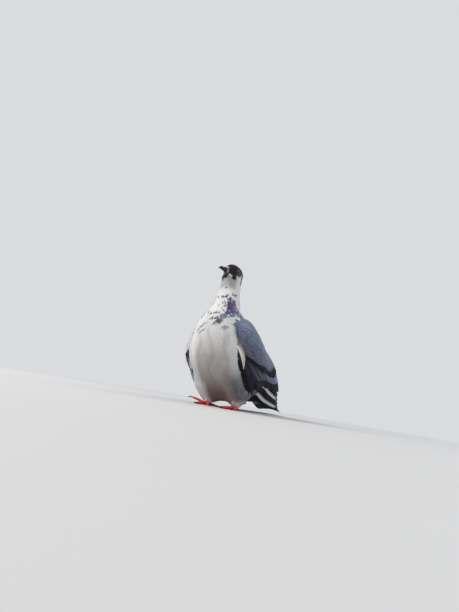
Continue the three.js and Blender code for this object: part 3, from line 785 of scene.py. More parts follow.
def wing_covers(points, normals, margin):
    """Whether a wing lies close over each point, or over it and the places a margin away on all sides."""
    points, normals = np.asarray(points), np.asarray(normals)
    hidden = np.ones(len(points), bool)
    way = across_flow(flow(points), normals)
    side = np.cross(normals, way)
    for shift in (np.zeros_like(way), way * margin, -way * margin, side * margin, -side * margin):
        starts = points + shift + normals * 0.5 * MM
        for i in np.flatnonzero(hidden):
            if wings_tree.ray_cast(starts[i].tolist(), normals[i].tolist(), WING_SEARCH)[0] is None:
                hidden[i] = False
    lies_on = [
        wings_tree.ray_cast(point, normal, CLOSE_WING)[0] is not None
        for point, normal in zip(points.tolist(), normals.tolist())
    ]
    return hidden | (np.array(lies_on) & (points[:, 1] < WING_AXIS[1] + WRIST_REACH))


def lay_feathers(roots, tract, vane, seed):
    """Grids of the tops and bottoms of feathers that start at the roots and follow the flow."""
    rng = np.random.default_rng(seed)
    count = len(roots)
    length = tract.gap * tract.length * rng.uniform(0.85, 1.12, count)
    half = tract.gap * tract.width * rng.uniform(0.9, 1.1, count)
    swerve = rng.normal(0, 0.09, count)[:, None]
    place, normal = hull.nearest(roots)
    line, side = [], []
    steps = np.diff(vane.along, prepend=0)
    for step in steps:
        way = across_flow(flow(place), normal)
        way = unit(way + np.cross(normal, way) * swerve)
        if step > 0:
            place, normal = hull.nearest(place + way * (length * step)[:, None])
            way = across_flow(way, normal)
        line.append(place)
        side.append(np.cross(way, normal))
    line, side = np.stack(line, axis=1), np.stack(side, axis=1)
    reach = half[:, None, None] * vane.width[None, :, None] * vane.across[None, None, :]
    spread = line[:, :, None] + side[:, :, None] * reach[..., None]
    spread, normals = hull.nearest(spread)
    along = vane.along[None, :, None]
    across = vane.across[None, None, :]
    lift = rng.uniform(-0.12, 0.12, count)[:, None, None] * tract.sink
    rise = -tract.sink * (1 - along) ** 1.1 + tract.crown * (0.4 - across**2) + lift * along
    thick = tract.thick * (1 - across**2) * (1 - 0.55 * along)
    top = spread + normals * (rise + thick)[..., None]
    bottom = spread + normals * rise[..., None]
    return top, bottom, rng.random(count)


def feather_colours(top, chance, rng, vane):
    """Colours over each vane, half from its showing end and half from each place, and its gloss."""
    count, rows, columns, _ = top.shape
    whole, gloss = markings(top[:, rows - 2, columns // 2], chance)
    places = top.reshape(-1, 3)
    local, _ = markings(places, np.repeat(chance, rows * columns))
    local = local.reshape(count, rows, columns, 3)
    colours = 0.6 * whole[:, None, None, :] + 0.4 * local
    shade = rng.normal(1.0, 0.03, count)[:, None, None, None]
    along = vane.along[None, :, None]
    rim = ease(along, 0.75, 1.0) * np.ones((1, 1, columns))
    downy = 1 - 0.14 * ease(along, 0.6, 0.0)
    return np.clip(colours * shade * (downy + 0.03 * rim)[..., None], 0, 1), gloss


wings_tree = tree_over(*node_arrays([f"wing_{side}_{layer}" for side in SIDES for layer in WING_LAYERS]))
bill_tree = tree_over(*node_arrays(["bill_upper", "bill_lower"]))
face_tracts = tract_of(hull.points[hull.quads].mean(axis=1))

# No feathers grow nearer than this to an eye's middle, the bill and the ceres.
EYE_OPENING = 5.2 * MM
BILL_CLEAR = 0.4 * MM
CERE_CLEAR = 0.5 * MM
# How far forward of the middle of the head the ceres are centred, in millimetres.
CERE_MIDDLE = 19.0


def shaped_ceres():
    """The chalky swellings over the nostrils, drawn out back along the bill, with fine wrinkles."""
    points, quads = fused(["cere_left", "cere_right"], 0, 0.2 * MM, 4)
    forward, left, _ = in_head(points)
    x, y, z = points.T / MM
    wave = np.sin(2.3 * x + 1.1 * z) * np.sin(2.9 * y + 0.7) + 0.5 * np.sin(5.1 * y - 3.3 * z + 1)
    rear = np.clip(CERE_MIDDLE - forward, 0, None)
    front = np.clip(forward - CERE_MIDDLE, 0, None)
    drawn = points + head_up * ((1.7 + 0.05 * front - 0.12 * rear) * MM)[:, None]
    drawn = drawn + head_forward * ((0.75 * front - 1.35 * rear) * MM)[:, None]
    drawn = drawn + head_left * (np.sign(left) * 0.22 * rear * MM)[:, None]
    return drawn + point_normals(points, quads) * ((0.08 + 0.06 * wave) * MM)[:, None], quads


ceres = shaped_ceres()
cere_tree = tree_over(*ceres)


def bare_at(points):
    """Where no feathers grow: the eye rings and the base of the bill."""
    bare = np.zeros(len(points), bool)
    for centre in eye_centre.values():
        bare |= np.linalg.norm(points - centre, axis=1) < EYE_OPENING
    bare |= distance_to(bill_tree, points) < BILL_CLEAR
    return bare | (distance_to(cere_tree, points) < CERE_CLEAR)


def vane_for(kind):
    if kind in ("face", "head"):
        return FACE_VANE
    return BACK_VANE if kind == "back" else BODY_VANE


COAT_TUCK = 9 * MM


def make_coat():
    """The contour feathers of the head, neck and body, a piece for each tract."""
    for number, (kind, tract) in enumerate(TRACTS.items()):
        roots = scatter(hull, face_tracts == number, tract.gap, 10 + number)
        _, normals = hull.nearest(roots)
        if kind in ("neck", "breast", "belly", "back"):
            roots = roots[~wing_covers(roots, normals, COAT_TUCK)]
        elif kind in ("face", "head"):
            roots = roots[~bare_at(roots)]
        vane = vane_for(kind)
        top, bottom, chance = lay_feathers(roots, tract, vane, 40 + number)
        colours, gloss = feather_colours(top, chance, np.random.default_rng(70 + number), vane)
        piece = feather_piece(f"coat_{kind}", vane, top, bottom, colours, roots, gloss)
        finish_piece(piece, plumage_material, "plumage_white")


# Leg tufts ---------------------------------------------------------------------------------------

TUFT_VANE = Vane([0, 0.25, 0.5, 0.75, 0.92, 1.0], [0.5, 0.9, 1.0, 0.85, 0.5, 0.14], 4)
# For each row: the height of its roots, its length and its distance from the shank's middle, in mm.
TUFT_ROWS = (
    (8.5, 5.6, 3.7),
    (11.0, 7.4, 4.7),
    (13.5, 9.0, 5.8),
    (16.0, 10.5, 6.8),
)
TUFT_LOWEST = 2.8 * MM
TUFTS_PER_MM = 6.5


def make_leg_tufts(seed):
    """Loose white feathers round each shank, hanging from the belly down to the toes."""
    rng = np.random.default_rng(seed)
    middles, turns, roots_z, lengths, aways = [], [], [], [], []
    for side in SIDES:
        low, high = box[f"shank_{side}"]
        middle = np.array([(low.x + high.x) / 2, (low.y + high.y) / 2])
        for height, length, away in TUFT_ROWS:
            count = int(away * TUFTS_PER_MM)
            for step in range(count):
                middles.append(middle)
                turns.append((step + rng.uniform(-0.3, 0.3)) / count * 2 * math.pi)
                roots_z.append((height + rng.normal(0, 0.6)) * MM)
                lengths.append(length * rng.uniform(0.85, 1.1) * MM)
                aways.append(away * rng.uniform(0.85, 1.15) * MM)
    middles, turns = np.array(middles), np.array(turns)
    roots_z, lengths, aways = np.array(roots_z), np.array(lengths), np.array(aways)
    outward = np.stack([np.cos(turns), np.sin(turns), np.zeros_like(turns)], axis=1)
    along = TUFT_VANE.along
    # Each feather bulges out and then comes in to the leg at its tip.
    away = aways[:, None] * (0.7 + 0.42 * np.sin(np.pi * along**0.8) + 0.12 * along)
    line = outward[:, None] * away[..., None]
    line[..., :2] += middles[:, None]
    hanging = roots_z[:, None] - lengths[:, None] * along
    line[..., 2] = np.maximum(hanging, TUFT_LOWEST * (1 + 0.3 * along))
    sideways = np.cross(outward, DOWN)
    half = 1.35 * MM * rng.uniform(0.8, 1.2, len(turns))
    reach = half[:, None, None] * TUFT_VANE.width[None, :, None] * TUFT_VANE.across[None, None, :]
    spread = line[:, :, None] + sideways[:, None, None] * reach[..., None]
    arch = (1 - TUFT_VANE.across[None, None, :] ** 2) * np.ones_like(reach)
    bow = 0.25 * (arch - 0.5) * MM
    bottom = spread + bow[..., None] * outward[:, None, None]
    top = bottom + (0.08 * MM * arch)[..., None] * outward[:, None, None]
    shade = blend(tone(232, 229, 227), tone(202, 194, 191), rng.random(len(turns)))
    colours = shade[:, None, None] * (0.9 + 0.1 * along[None, :, None, None]) * np.ones(top.shape)
    piece = feather_piece("leg_tufts", TUFT_VANE, top, bottom, colours, top[:, 0, 1])
    finish_piece(piece, plumage_material, "plumage_white")


# Materials ---------------------------------------------------------------------------------------


def new_material(name, roughness, **sockets):
    """A Principled material and its node tree; sockets that don't vary are set on the shader."""
    material = bpy.data.materials.new(name)
    material.use_nodes = True
    shader = material.node_tree.nodes["Principled BSDF"]
    shader.inputs["Roughness"].default_value = roughness
    for socket, value in sockets.items():
        shader.inputs[socket.replace("_", " ")].default_value = value
    return material, material.node_tree, shader


def add_node(tree, kind, **settings):
    node = tree.nodes.new(kind)
    for key, value in settings.items():
        setattr(node, key, value)
    return node


def noise(tree, scale, detail=3.0, coordinates="Object"):
    """A noise texture in the piece's own coordinates."""
    place = add_node(tree, "ShaderNodeTexCoord")
    texture = add_node(tree, "ShaderNodeTexNoise")
    texture.inputs["Scale"].default_value = scale
    texture.inputs["Detail"].default_value = detail
    tree.links.new(place.outputs[coordinates], texture.inputs["Vector"])
    return texture.outputs["Fac"]


def feed(tree, value, socket):
    """Links a socket to another node's output, or sets it to a number."""
    if isinstance(value, (int, float)):
        socket.default_value = value
    else:
        tree.links.new(value, socket)


def calculated(tree, operation, *values):
    """The result of one math node."""
    node = add_node(tree, "ShaderNodeMath", operation=operation)
    for value, socket in zip(values, node.inputs):
        feed(tree, value, socket)
    return node.outputs["Value"]


def remapped(tree, value, low, high, start=0.0, end=1.0, **settings):
    """A value that runs from start to end, spread between low and high."""
    node = add_node(tree, "ShaderNodeMapRange", **settings)
    ends = {"Value": value, "From Min": start, "From Max": end, "To Min": low, "To Max": high}
    for name, given in ends.items():
        feed(tree, given, node.inputs[name])
    return node.outputs["Result"]


def multiplied(tree, colour, factor):
    node = add_node(tree, "ShaderNodeVectorMath", operation="SCALE")
    tree.links.new(colour, node.inputs[0])
    tree.links.new(factor, node.inputs["Scale"])
    return node.outputs["Vector"]


def bumped(tree, shader, height, strength, distance):
    node = add_node(tree, "ShaderNodeBump")
    node.inputs["Strength"].default_value = strength
    node.inputs["Distance"].default_value = distance
    tree.links.new(height, node.inputs["Height"])
    tree.links.new(node.outputs["Normal"], shader.inputs["Normal"])


BARB_SLANT = -0.32


def barbs(tree, count):
    """Fine lines that slant out from each shaft towards the tip, from the vane's own map."""
    place = add_node(tree, "ShaderNodeUVMap", uv_map="Vane")
    split = add_node(tree, "ShaderNodeSeparateXYZ")
    tree.links.new(place.outputs["UV"], split.inputs["Vector"])
    out = calculated(tree, "ABSOLUTE", split.outputs["X"])
    slant = calculated(tree, "MULTIPLY_ADD", out, BARB_SLANT, split.outputs["Y"])
    wave = calculated(tree, "SINE", calculated(tree, "MULTIPLY", slant, count * 2 * math.pi))
    return remapped(tree, wave, 0.0, 1.0, start=-1.0)


def make_plumage(name, roughness, barb_count, barb_depth, **sockets):
    """Plumage: the written colours, mottled a little, with barbs as bump and as fine shading."""
    material, tree, shader = new_material(name, roughness, **sockets)
    written = add_node(tree, "ShaderNodeAttribute", attribute_name="Plumage")
    lines = barbs(tree, barb_count)
    mottle = remapped(tree, noise(tree, 900.0), 0.86, 1.10)
    shading = calculated(tree, "MULTIPLY", mottle, remapped(tree, lines, 1 - barb_depth, 1.0))
    colour = multiplied(tree, written.outputs["Color"], shading)
    tree.links.new(colour, shader.inputs["Base Color"])
    # Alpha holds the gloss: the neck's iridescent feathers are smoother and partly metallic.
    gloss = written.outputs["Alpha"]
    tree.links.new(remapped(tree, gloss, 0.0, 0.55), shader.inputs["Metallic"])
    tree.links.new(remapped(tree, gloss, roughness, 0.34), shader.inputs["Roughness"])
    bumped(tree, shader, lines, 0.3, 0.00010)
    return material


plumage_material = make_plumage(
    "plumage", 0.85, 14, 0.05,
    Specular_IOR_Level=0.18, Sheen_Weight=0.04,
    Subsurface_Weight=0.35, Subsurface_Radius=(1.0, 0.9, 0.85), Subsurface_Scale=0.0012,
)

# Wings -------------------------------------------------------------------------------------------

NOMINAL_RADIUS = 60 * MM


def widened(grid, known):
    """Fills the unknown cells of a grid from their known neighbours, ring by ring."""
    grid = np.where(known, grid, 0.0)
    known = known.astype(float)
    while known.min() < 1:
        padded = np.pad(grid * known, 1)
        weight = np.pad(known, 1)
        total = np.zeros_like(grid)
        count = np.zeros_like(grid)
        for i in range(3):
            for j in range(3):
                total += padded[i : i + grid.shape[0], j : j + grid.shape[1]]
                count += weight[i : i + grid.shape[0], j : j + grid.shape[1]]
        grid = np.where(known > 0, grid, total / np.maximum(count, 1))
        known = np.maximum(known, count > 0)
    return grid


def softened(grid, rounds):
    for _ in range(rounds):
        padded = np.pad(grid, 1, mode="edge")
        grid = (
            padded[1:-1, 1:-1] * 2
            + padded[:-2, 1:-1] + padded[2:, 1:-1]
            + padded[1:-1, :-2] + padded[1:-1, 2:]
        ) / 6
    return grid


class Sheet:
    """A height field over CAD nodes: places (s, q) in metres along and across, with a lift off it."""

    def __init__(self, nodes, s_values, q_values, rounds):
        self.s_values, self.q_values = s_values, q_values
        filled = self.filled(self.cast(tree_over(*node_arrays(nodes))))
        self.heights = softened(widened(filled, ~np.isnan(filled)), rounds)

    def cast(self, tree):
        s, q = np.meshgrid(self.s_values, self.q_values, indexing="ij")
        starts, ways = self.rays(s.ravel(), q.ravel())
        heights = np.full(s.size, np.nan)
        for i, (start, way) in enumerate(zip(starts.tolist(), ways.tolist())):
            hit = tree.ray_cast(start, way)
            if hit[0] is not None:
                heights[i] = self.far_start - hit[3]
        return heights.reshape(s.shape)

    def filled(self, heights):
        return heights

    def height(self, s, q):
        i = np.clip((s - self.s_values[0]) / (self.s_values[1] - self.s_values[0]), 0, None)
        j = np.clip((q - self.q_values[0]) / (self.q_values[1] - self.q_values[0]), 0, None)
        i0 = np.minimum(i.astype(int), len(self.s_values) - 2)
        j0 = np.minimum(j.astype(int), len(self.q_values) - 2)
        u = np.clip(i - i0, 0, 1)
        v = np.clip(j - j0, 0, 1)
        h = self.heights
        low = h[i0, j0] * (1 - v) + h[i0, j0 + 1] * v
        high = h[i0 + 1, j0] * (1 - v) + h[i0 + 1, j0 + 1] * v
        return low * (1 - u) + high * u


class Sheath(Sheet):
    """A folded wing's outer face, as a radius round the wing's axis at each length and turn."""

    far_start = 0.12

    def __init__(self, side):
        self.sign = SIDES[side]
        nodes = [f"wing_{side}_{layer}" for layer in WING_LAYERS]
        s_values = np.arange(-20 * MM, WING_LENGTH + 1 * MM, 2 * MM)
        q_values = np.radians(np.arange(-64, 96, 2.0)) * NOMINAL_RADIUS
        super().__init__(nodes, s_values, q_values, 5)

    def filled(self, heights):
        """Round the wrist the sheath runs on over the body, so the wing rises out of the coat."""
        body = self.cast(flesh.tree)
        front = np.isnan(heights) & (self.s_values < WRIST_REACH)[:, None]
        return np.where(front, body, heights)

    def rays(self, s, q):
        away = self.away(q)
        return WING_AXIS + s[:, None] * WING_BACK + away * self.far_start, -away

    def away(self, q):
        turn = q / NOMINAL_RADIUS
        across = np.array([self.sign, 0, 0])
        return np.cos(turn)[..., None] * across + np.sin(turn)[..., None] * WING_UP

    def scale(self, s, q):
        """Metres across for one metre of q."""
        return self.height(s, q) / NOMINAL_RADIUS

    def place(self, s, q, lift):
        """Points at a lift above the face; past the wing's lower edge the face curls inward."""
        beyond = np.clip(wing_low(s) - q, 0, None)
        radius = self.height(s, q) - 0.55 * beyond - 40 * beyond**2
        return WING_AXIS + s[..., None] * WING_BACK + self.away(q) * (radius + lift)[..., None]


def degrees_across(turn):
    """A turn round the wing's axis, in degrees, as a place across the sheath."""
    return np.radians(turn) * NOMINAL_RADIUS


# Lengths from the wrist in millimetres, and the turns of the wing's two edges there in degrees.
STATIONS = [0, 8, 24, 60, 98, 130, 150, 180, 214]
LOW_TURNS = [-6, -29, -46, -52, -52, -44, -38, -27, -6]
HIGH_TURNS = [10, 31, 54, 76, 84, 82, 60, 28, 5]


def wing_low(s):
    """The lower edge of the folded wing, as a place across the sheath."""
    return degrees_across(np.interp(np.asarray(s) / MM, STATIONS, LOW_TURNS))


def primary_low(s):
    """The lowest line of the primaries, up to 4 degrees of turn below the wing's lower edge."""
    return wing_low(s) - degrees_across(4.0) * ease(s, 96 * MM, 130 * MM) * ease(s, 212 * MM, 170 * MM)


def wing_high(s):
    return degrees_across(np.interp(np.asarray(s) / MM, STATIONS, HIGH_TURNS))


def turn_of(q):
    return np.degrees(q / NOMINAL_RADIUS)


def coverts_tip(q):
    """How far along the wing the greater coverts reach: the rear edge of the front bar."""
    turns = [-46, -38, -33, -29, -24, -12, -7, 12, 80]
    return np.interp(turn_of(q), turns, [8, 18, 31, 44, 64, 96, 110, 122, 120]) * MM


def secondaries_tip(q):
    """How far the secondaries and tertials reach: the rear edge of the second bar."""
    return np.interp(turn_of(q), [-40, -27, -9, 12, 40, 80], [80, 108, 147, 168, 176, 158]) * MM


COVERT_VANE = Vane([0, 0.22, 0.45, 0.66, 0.82, 0.93, 1.0], [0.4, 0.8, 1.0, 1.0, 0.84, 0.56, 0.16], 5)
LONG_ROWS = 30
LONG_COLUMNS = 9
LEAF_VANE = Vane([0, 0.18, 0.4, 0.6, 0.8, 0.92, 1.0], [0.1, 0.55, 0.92, 1.0, 0.66, 0.34, 0.08], 5)


def long_vane(stations, widths):
    """A long feather's vane: its widths at a few stations, spread evenly over many rows."""
    along = np.linspace(0, 1, LONG_ROWS)
    return Vane(along, np.interp(along, stations, widths), LONG_COLUMNS)


FLIGHT_VANE = long_vane(
    [0, 0.1, 0.3, 0.6, 0.78, 0.88, 0.95, 0.98, 1.0],
    [0.4, 0.75, 1.0, 0.98, 0.88, 0.72, 0.5, 0.3, 0.08],
)
BLUNT_VANE = long_vane(
    [0, 0.1, 0.35, 0.8, 0.9, 0.96, 0.985, 1.0],
    [0.4, 0.75, 1.0, 1.0, 0.95, 0.8, 0.6, 0.3],
)


def straight(vane, root, tip):
    """Places along feathers that run straight from root to tip, each (s, q)."""
    along = vane.along[None, :]
    s = root[:, :1] + (tip[:, :1] - root[:, :1]) * along
    return s, root[:, 1:] + (tip[:, 1:] - root[:, 1:]) * along


def lay_on_sheet(sheet, vane, s, q, half, lift_root, lift_tip, thick, camber, tuck=0.0):
    """Grids of feathers on a sheet along the paths s, q. Tuck slips each upper edge under the next."""
    along = vane.along[None, :]
    scale = sheet.scale(s, q)
    way_s = np.gradient(s, axis=1)
    way_q = np.gradient(q, axis=1) * scale
    size = np.hypot(way_s, way_q)
    reach = half[:, None, None] * vane.width[None, :, None] * vane.across[None, None, :]
    s_grid = s[..., None] - reach * (way_q / size)[..., None]
    q_grid = q[..., None] + reach * (way_s / size / scale)[..., None]
    rise = lift_root[:, None] + (lift_tip - lift_root)[:, None] * along
    across = vane.across[None, None, :]
    rise = rise[..., None] + camber * (0.5 - across**2) - tuck * across
    blade = thick * (1 - np.abs(across) ** 3) * (1 - 0.4 * along[..., None])
    top = sheet.place(s_grid, q_grid, rise + blade)
    bottom = sheet.place(s_grid, q_grid, rise)
    return top, bottom, s_grid, q_grid


BAR = tone(15, 15, 28)
# For each side: the lower coverts, the upper coverts, the pale edges and the secondaries.
GREYS = {
    "left": (tone(78, 81, 93), tone(108, 118, 141), tone(146, 158, 182), tone(60, 60, 70)),
    "right": (tone(200, 201, 205), tone(150, 158, 174), tone(222, 223, 226), tone(150, 151, 156)),
}


def streaks(across, along, pale, dark):
    """The pale outer edge and the darker inner part of a vane, as shares of each. The darker inner part, on
    the side that slips under the next feather, is partly its own colour and partly painted shade.
    """
    edge = ease(across, -0.35, -0.8) * ease(along, 0.1, 0.5)
    inner = ease(across, 0.15, 0.6) + 0.5 * ease(np.abs(across + 0.05), 0.16, 0.0)
    return pale * edge, dark * np.clip(inner, 0, 1)


def covert_colours(side, s, q, vane, chance):
    """Coverts that are grey below and bluer above, each with a pale edge; the last rows are a bar."""
    lower, upper, pale, _ = GREYS[side]
    across = vane.across[None, None, :]
    along = vane.along[None, :, None]
    turn = turn_of(q)
    colour = blend(lower, upper, ease(turn, -30, 8))
    colour = colour * (0.78 + 0.42 * chance[:, None, None, None])
    edge, inner = streaks(across, along, 0.55, 0.7)
    colour = blend(colour, pale, edge * ease(turn, -42, -28))
    colour = blend(colour, DARK_SLATE, inner)
    wide = (12 + 8 * ease(turn, -36, -12)) * MM
    bar = 0.97 * ease(s - coverts_tip(q) + wide, -1.4 * MM, 1.4 * MM)
    if side == "right":
        return blend(colour, BAR, bar * ease(turn, -30, -18))
    colour = blend(colour, BAR, bar)
    # Dark near the wing's lower edge: dark feathers and painted shade of the wing's underside.
    return blend(colour, tone(38, 38, 48), 0.9 * ease(turn, -33, -36) * ease(s, 6 * MM, 12 * MM))


def secondary_colours(side, s, q, vane, chance):
    """Grey secondaries with pale and dark streaks, bluer above, that end in the second bar."""
    _, upper, pale, grey = GREYS[side]
    across = vane.across[None, None, :]
    along = vane.along[None, :, None]
    turn = turn_of(q)
    colour = blend(grey, upper, ease(turn, -24, -2))
    colour = colour * (0.8 + 0.4 * chance[:, None, None, None])
    edge, inner = streaks(across, along, 0.55, 0.85)
    colour = blend(colour, pale, edge * (0.45 + 0.55 * ease(turn, -28, -6)))
    colour = blend(colour, tone(34, 34, 45), inner)
    front = s - secondaries_tip(q) + 24 * MM
    colour = blend(colour, BAR, 0.97 * ease(front, -1.5 * MM, 1.5 * MM))
    # Dark near the wing's lower edge: dark feathers and painted shade of the wing's underside.
    return blend(colour, tone(38, 37, 48), 0.9 * ease(turn, -33, -38))


PRIMARIES = 10
SECONDARIES = 19
# How far each white outer vane reaches down its primary, from 0 to 1, by the feather's number.
WHITE_REACH = {
    "left": {1: 0.97, 3: 0.95},
    "right": {0: 0.8, 1: 0.9, 2: 0.9, 3: 0.85, 4: 0.8},
}
# How far along the wing the white begins.
WHITE_FROM = {"left": 92 * MM, "right": 20 * MM}


def primary_colours(side, s, vane, chance):
    """Black primaries, some of them with white outer edges that narrow towards the tip."""
    across = vane.across[None, None, :]
    along = vane.along[None, :, None]
    colour = tone(24, 24, 34) * (0.85 + 0.3 * chance[:, None, None, None])
    reach = np.array([WHITE_REACH[side].get(k, 0.0) for k in range(len(s))])[:, None, None]
    white = (reach > 0) * ease(across, 0.0, -0.25) * ease(along, reach + 0.01, reach - 0.12)
    white = white * ease(s, WHITE_FROM[side], WHITE_FROM[side] + 12 * MM)
    colour = blend(colour, tone(206, 207, 210), white * 0.95)
    return blend(colour, INK, 0.7 * ease(np.abs(across + 0.2), 0.12, 0.0))


COVERT_ROWS = 10
ROOM_BEFORE_WRIST = 7 * MM
COVERTS_FROM = -10 * MM


def covert_rows(sheet, rng):
    """Roots, tips and widths of the covert rows, small at the wrist and long at the bar."""
    roots, tips, halves = [], [], []
    for row in range(COVERT_ROWS + 1):
        share = (row / COVERT_ROWS) ** 0.85
        q = degrees_across(-52.0)
        while q < degrees_across(86):
            last = coverts_tip(q)
            reach = last * share - 3 * MM * (1 - share)
            gap = max(last, 12 * MM) / COVERT_ROWS
            half = np.clip(0.30 * gap * (0.7 + 0.4 * share), 1.5 * MM, 3.6 * MM)
            room = ROOM_BEFORE_WRIST * (1 - 0.9 * ease(turn_of(q), 8, 26))
            ahead = reach + room * (1 - share)
            if wing_low(ahead) + 0.2 * half < q < wing_high(ahead):
                length = np.clip(3.0 * gap * (0.8 + 0.3 * share), 7 * MM, 44 * MM)
                root_s = max(reach - length, COVERTS_FROM)
                tips.append([reach + rng.normal(0, 0.9) * MM, q + rng.normal(0, 0.3) * MM])
                roots.append([root_s, q * (1 - 0.05 * (q > 0))])
                halves.append(half)
            q += 1.15 * half / max(sheet.scale(np.array(reach), np.array(q)), 0.2)
    roots, tips, halves = np.array(roots), np.array(tips), np.array(halves)
    spots = sheet.place(tips[:, 0], tips[:, 1], 0) / MM
    over_collar = (spots[:, 2] > 129.5) & (spots[:, 1] < -94)
    return roots[~over_collar], tips[~over_collar], halves[~over_collar]


def sheet_piece(name, vane, grids, colours, slot_name, replaced, columns=None):
    """A piece of feathers laid on a sheet; with columns, each gets a strip of its own to bake in."""
    top, bottom = grids[:2]
    roots = top[:, 0, vane.across.size // 2]
    piece = feather_piece(name, vane, top, bottom, np.clip(colours, 0, 1), roots, columns=columns)
    finish_piece(piece, flight_material, slot_name, *replaced)


def lay_coverts(side, sheet, rng):
    roots, tips, halves = covert_rows(sheet, rng)
    count = len(roots)
    lift = (0.75 + rng.uniform(-0.1, 0.1, count)) * MM
    s, q = straight(COVERT_VANE, roots, tips)
    grids = lay_on_sheet(
        sheet, COVERT_VANE, s, q, halves, -0.7 * MM * np.ones(count), lift, 0.2 * MM, 0.3 * MM, 0.22 * MM
    )
    colours = covert_colours(side, grids[2], grids[3], COVERT_VANE, rng.random(count))
    sheet_piece(f"wing_{side}_covert_feathers", COVERT_VANE, grids, colours, "plumage_grey", [])


def lay_secondaries(side, sheet, rng):
    """Secondaries and tertials, from the wing's lower edge up to the back."""
    count = SECONDARIES
    share = np.linspace(0, 1, count)
    root_q = degrees_across(-39 + 117 * share)
    tip_s = secondaries_tip(root_q) + rng.normal(0, 0.4, count) * MM
    tip_q = np.minimum(root_q * 0.92, wing_high(tip_s) * 0.95 + degrees_across(3))
    roots = np.stack([tip_s - 84 * MM, root_q], axis=1)
    s, q = straight(BLUNT_VANE, roots, np.stack([tip_s, tip_q], axis=1))
    half = np.full(count, 5.6 * MM)
    lift = (-0.45 + 0.5 * share) * MM
    grids = lay_on_sheet(
        sheet, BLUNT_VANE, s, q, half, lift - 0.3 * MM, lift, 0.22 * MM, 0.3 * MM, 0.5 * MM
    )
    colours = secondary_colours(side, grids[2], grids[3], BLUNT_VANE, rng.random(count))
    name = f"wing_{side}_secondary_feathers"
    sheet_piece(name, BLUNT_VANE, grids, colours, "plumage_grey", [f"wing_{side}_secondaries"], 8)


def lay_primaries(side, sheet, rng):
    """Primaries along the wing's lower edge; the outermost lies lowest, and the tips step back."""
    share = np.linspace(0, 1, PRIMARIES)
    along = FLIGHT_VANE.along[None, :]
    tip_s = (213 - 92 * share) * MM
    root_s = (12 + 26 * share) * MM
    s = root_s[:, None] + (tip_s - root_s)[:, None] * along
    above = (3.0 + 1.6 * share)[:, None] + (1.5 + 68 * share)[:, None] * ease(along, 0.0, 0.6)
    above = above * ease(s, WING_LENGTH + 40 * MM, WING_LENGTH - 40 * MM)
    q = np.minimum(primary_low(s) + degrees_across(above), wing_high(s) * 0.8)
    half = np.full(PRIMARIES, 6.2 * MM)
    lift = (-2.6 + 1.6 * share) * MM
    grids = lay_on_sheet(
        sheet, FLIGHT_VANE, s, q, half, lift - 0.3 * MM, lift, 0.24 * MM, 0.2 * MM, 0.6 * MM
    )
    colours = primary_colours(side, grids[2], FLIGHT_VANE, rng.random(PRIMARIES))
    name = f"wing_{side}_primary_feathers"
    sheet_piece(name, FLIGHT_VANE, grids, colours, "plumage_dark", [f"wing_{side}_primaries"], 5)


# The left wing's dark edge coverts are partly dark feathers and partly painted shade under the wing; the
# right wing's are pale.
EDGE_TINTS = {"left": tone(36, 35, 46), "right": tone(206, 207, 211)}
PALE_TINTS = {"left": tone(206, 198, 184), "right": tone(216, 216, 218)}
PALE_SHADES = np.array([[1.0], [0.6]])


def lay_edge_coverts(side, sheet, rng):
    """The primary coverts along the lower edge, and two long pale feathers under the wrist."""
    count = 8
    share = np.linspace(0, 1, count)
    roots = np.stack([(8 + 10 * share) * MM, degrees_across(-37 + 2 * share)], axis=1)
    tips = np.stack([(84 - 26 * share) * MM, degrees_across(-50 + 11 * share)], axis=1)
    s, q = straight(COVERT_VANE, roots, tips)
    lift = (-0.9 + 0.7 * share) * MM
    half = np.full(count, 3.0 * MM)
    low_lift = lift - 0.4 * MM
    dark = lay_on_sheet(sheet, COVERT_VANE, s, q, half, low_lift, lift, 0.22 * MM, 0.2 * MM, 0.25 * MM)
    dark_tint = EDGE_TINTS[side] * rng.uniform(0.8, 1.25, (count, 1))

    share = np.linspace(0, 1, len(PALE_SHADES))
    roots = np.stack([(4 + 3 * share) * MM, degrees_across(-31 + 2.0 * share)], axis=1)
    tips = np.stack([(32 - 4 * share) * MM, degrees_across(-44 + 3.0 * share)], axis=1)
    s, q = straight(LEAF_VANE, roots, tips)
    lift = (2.3 - 0.5 * share) * MM
    half = (2.0 - 0.5 * share) * MM
    pale = lay_on_sheet(sheet, LEAF_VANE, s, q, half, lift - 0.2 * MM, lift, 0.2 * MM, 0.2 * MM, 0.1 * MM)
    pale_tint = PALE_TINTS[side] * PALE_SHADES

    grids = [np.concatenate(pair) for pair in zip(dark, pale)]
    tints = np.concatenate([dark_tint, pale_tint])
    along = COVERT_VANE.along[None, :, None, None]
    colours = tints[:, None, None, :] * (0.8 + 0.2 * along) * np.ones(grids[2].shape + (1,))
    sheet_piece(f"wing_{side}_edge_feathers", COVERT_VANE, grids, colours, "plumage_dark", [])


def make_wing(side, seed):
    rng = np.random.default_rng(seed)
    sheet = Sheath(side)
    lay_coverts(side, sheet, rng)
    lay_secondaries(side, sheet, rng)
    lay_primaries(side, sheet, rng)
    lay_edge_coverts(side, sheet, rng)


flight_material = make_plumage("flight_plumage", 0.72, 40, 0.12, Specular_IOR_Level=0.12)

# Tail --------------------------------------------------------------------------------------------

TAIL_AXIS = np.array([0, box["tail"][0].y, box["tail"][1].z - 3.5 * MM])
TAIL_LENGTH = (box["tail"][1].y - box["tail"][0].y) / math.cos(TAIL_PITCH)
RECTRICES = 12
# How far each row of tail coverts reaches, in millimetres.
TAIL_COVERT_REACHES = (22, 31, 40, 49)


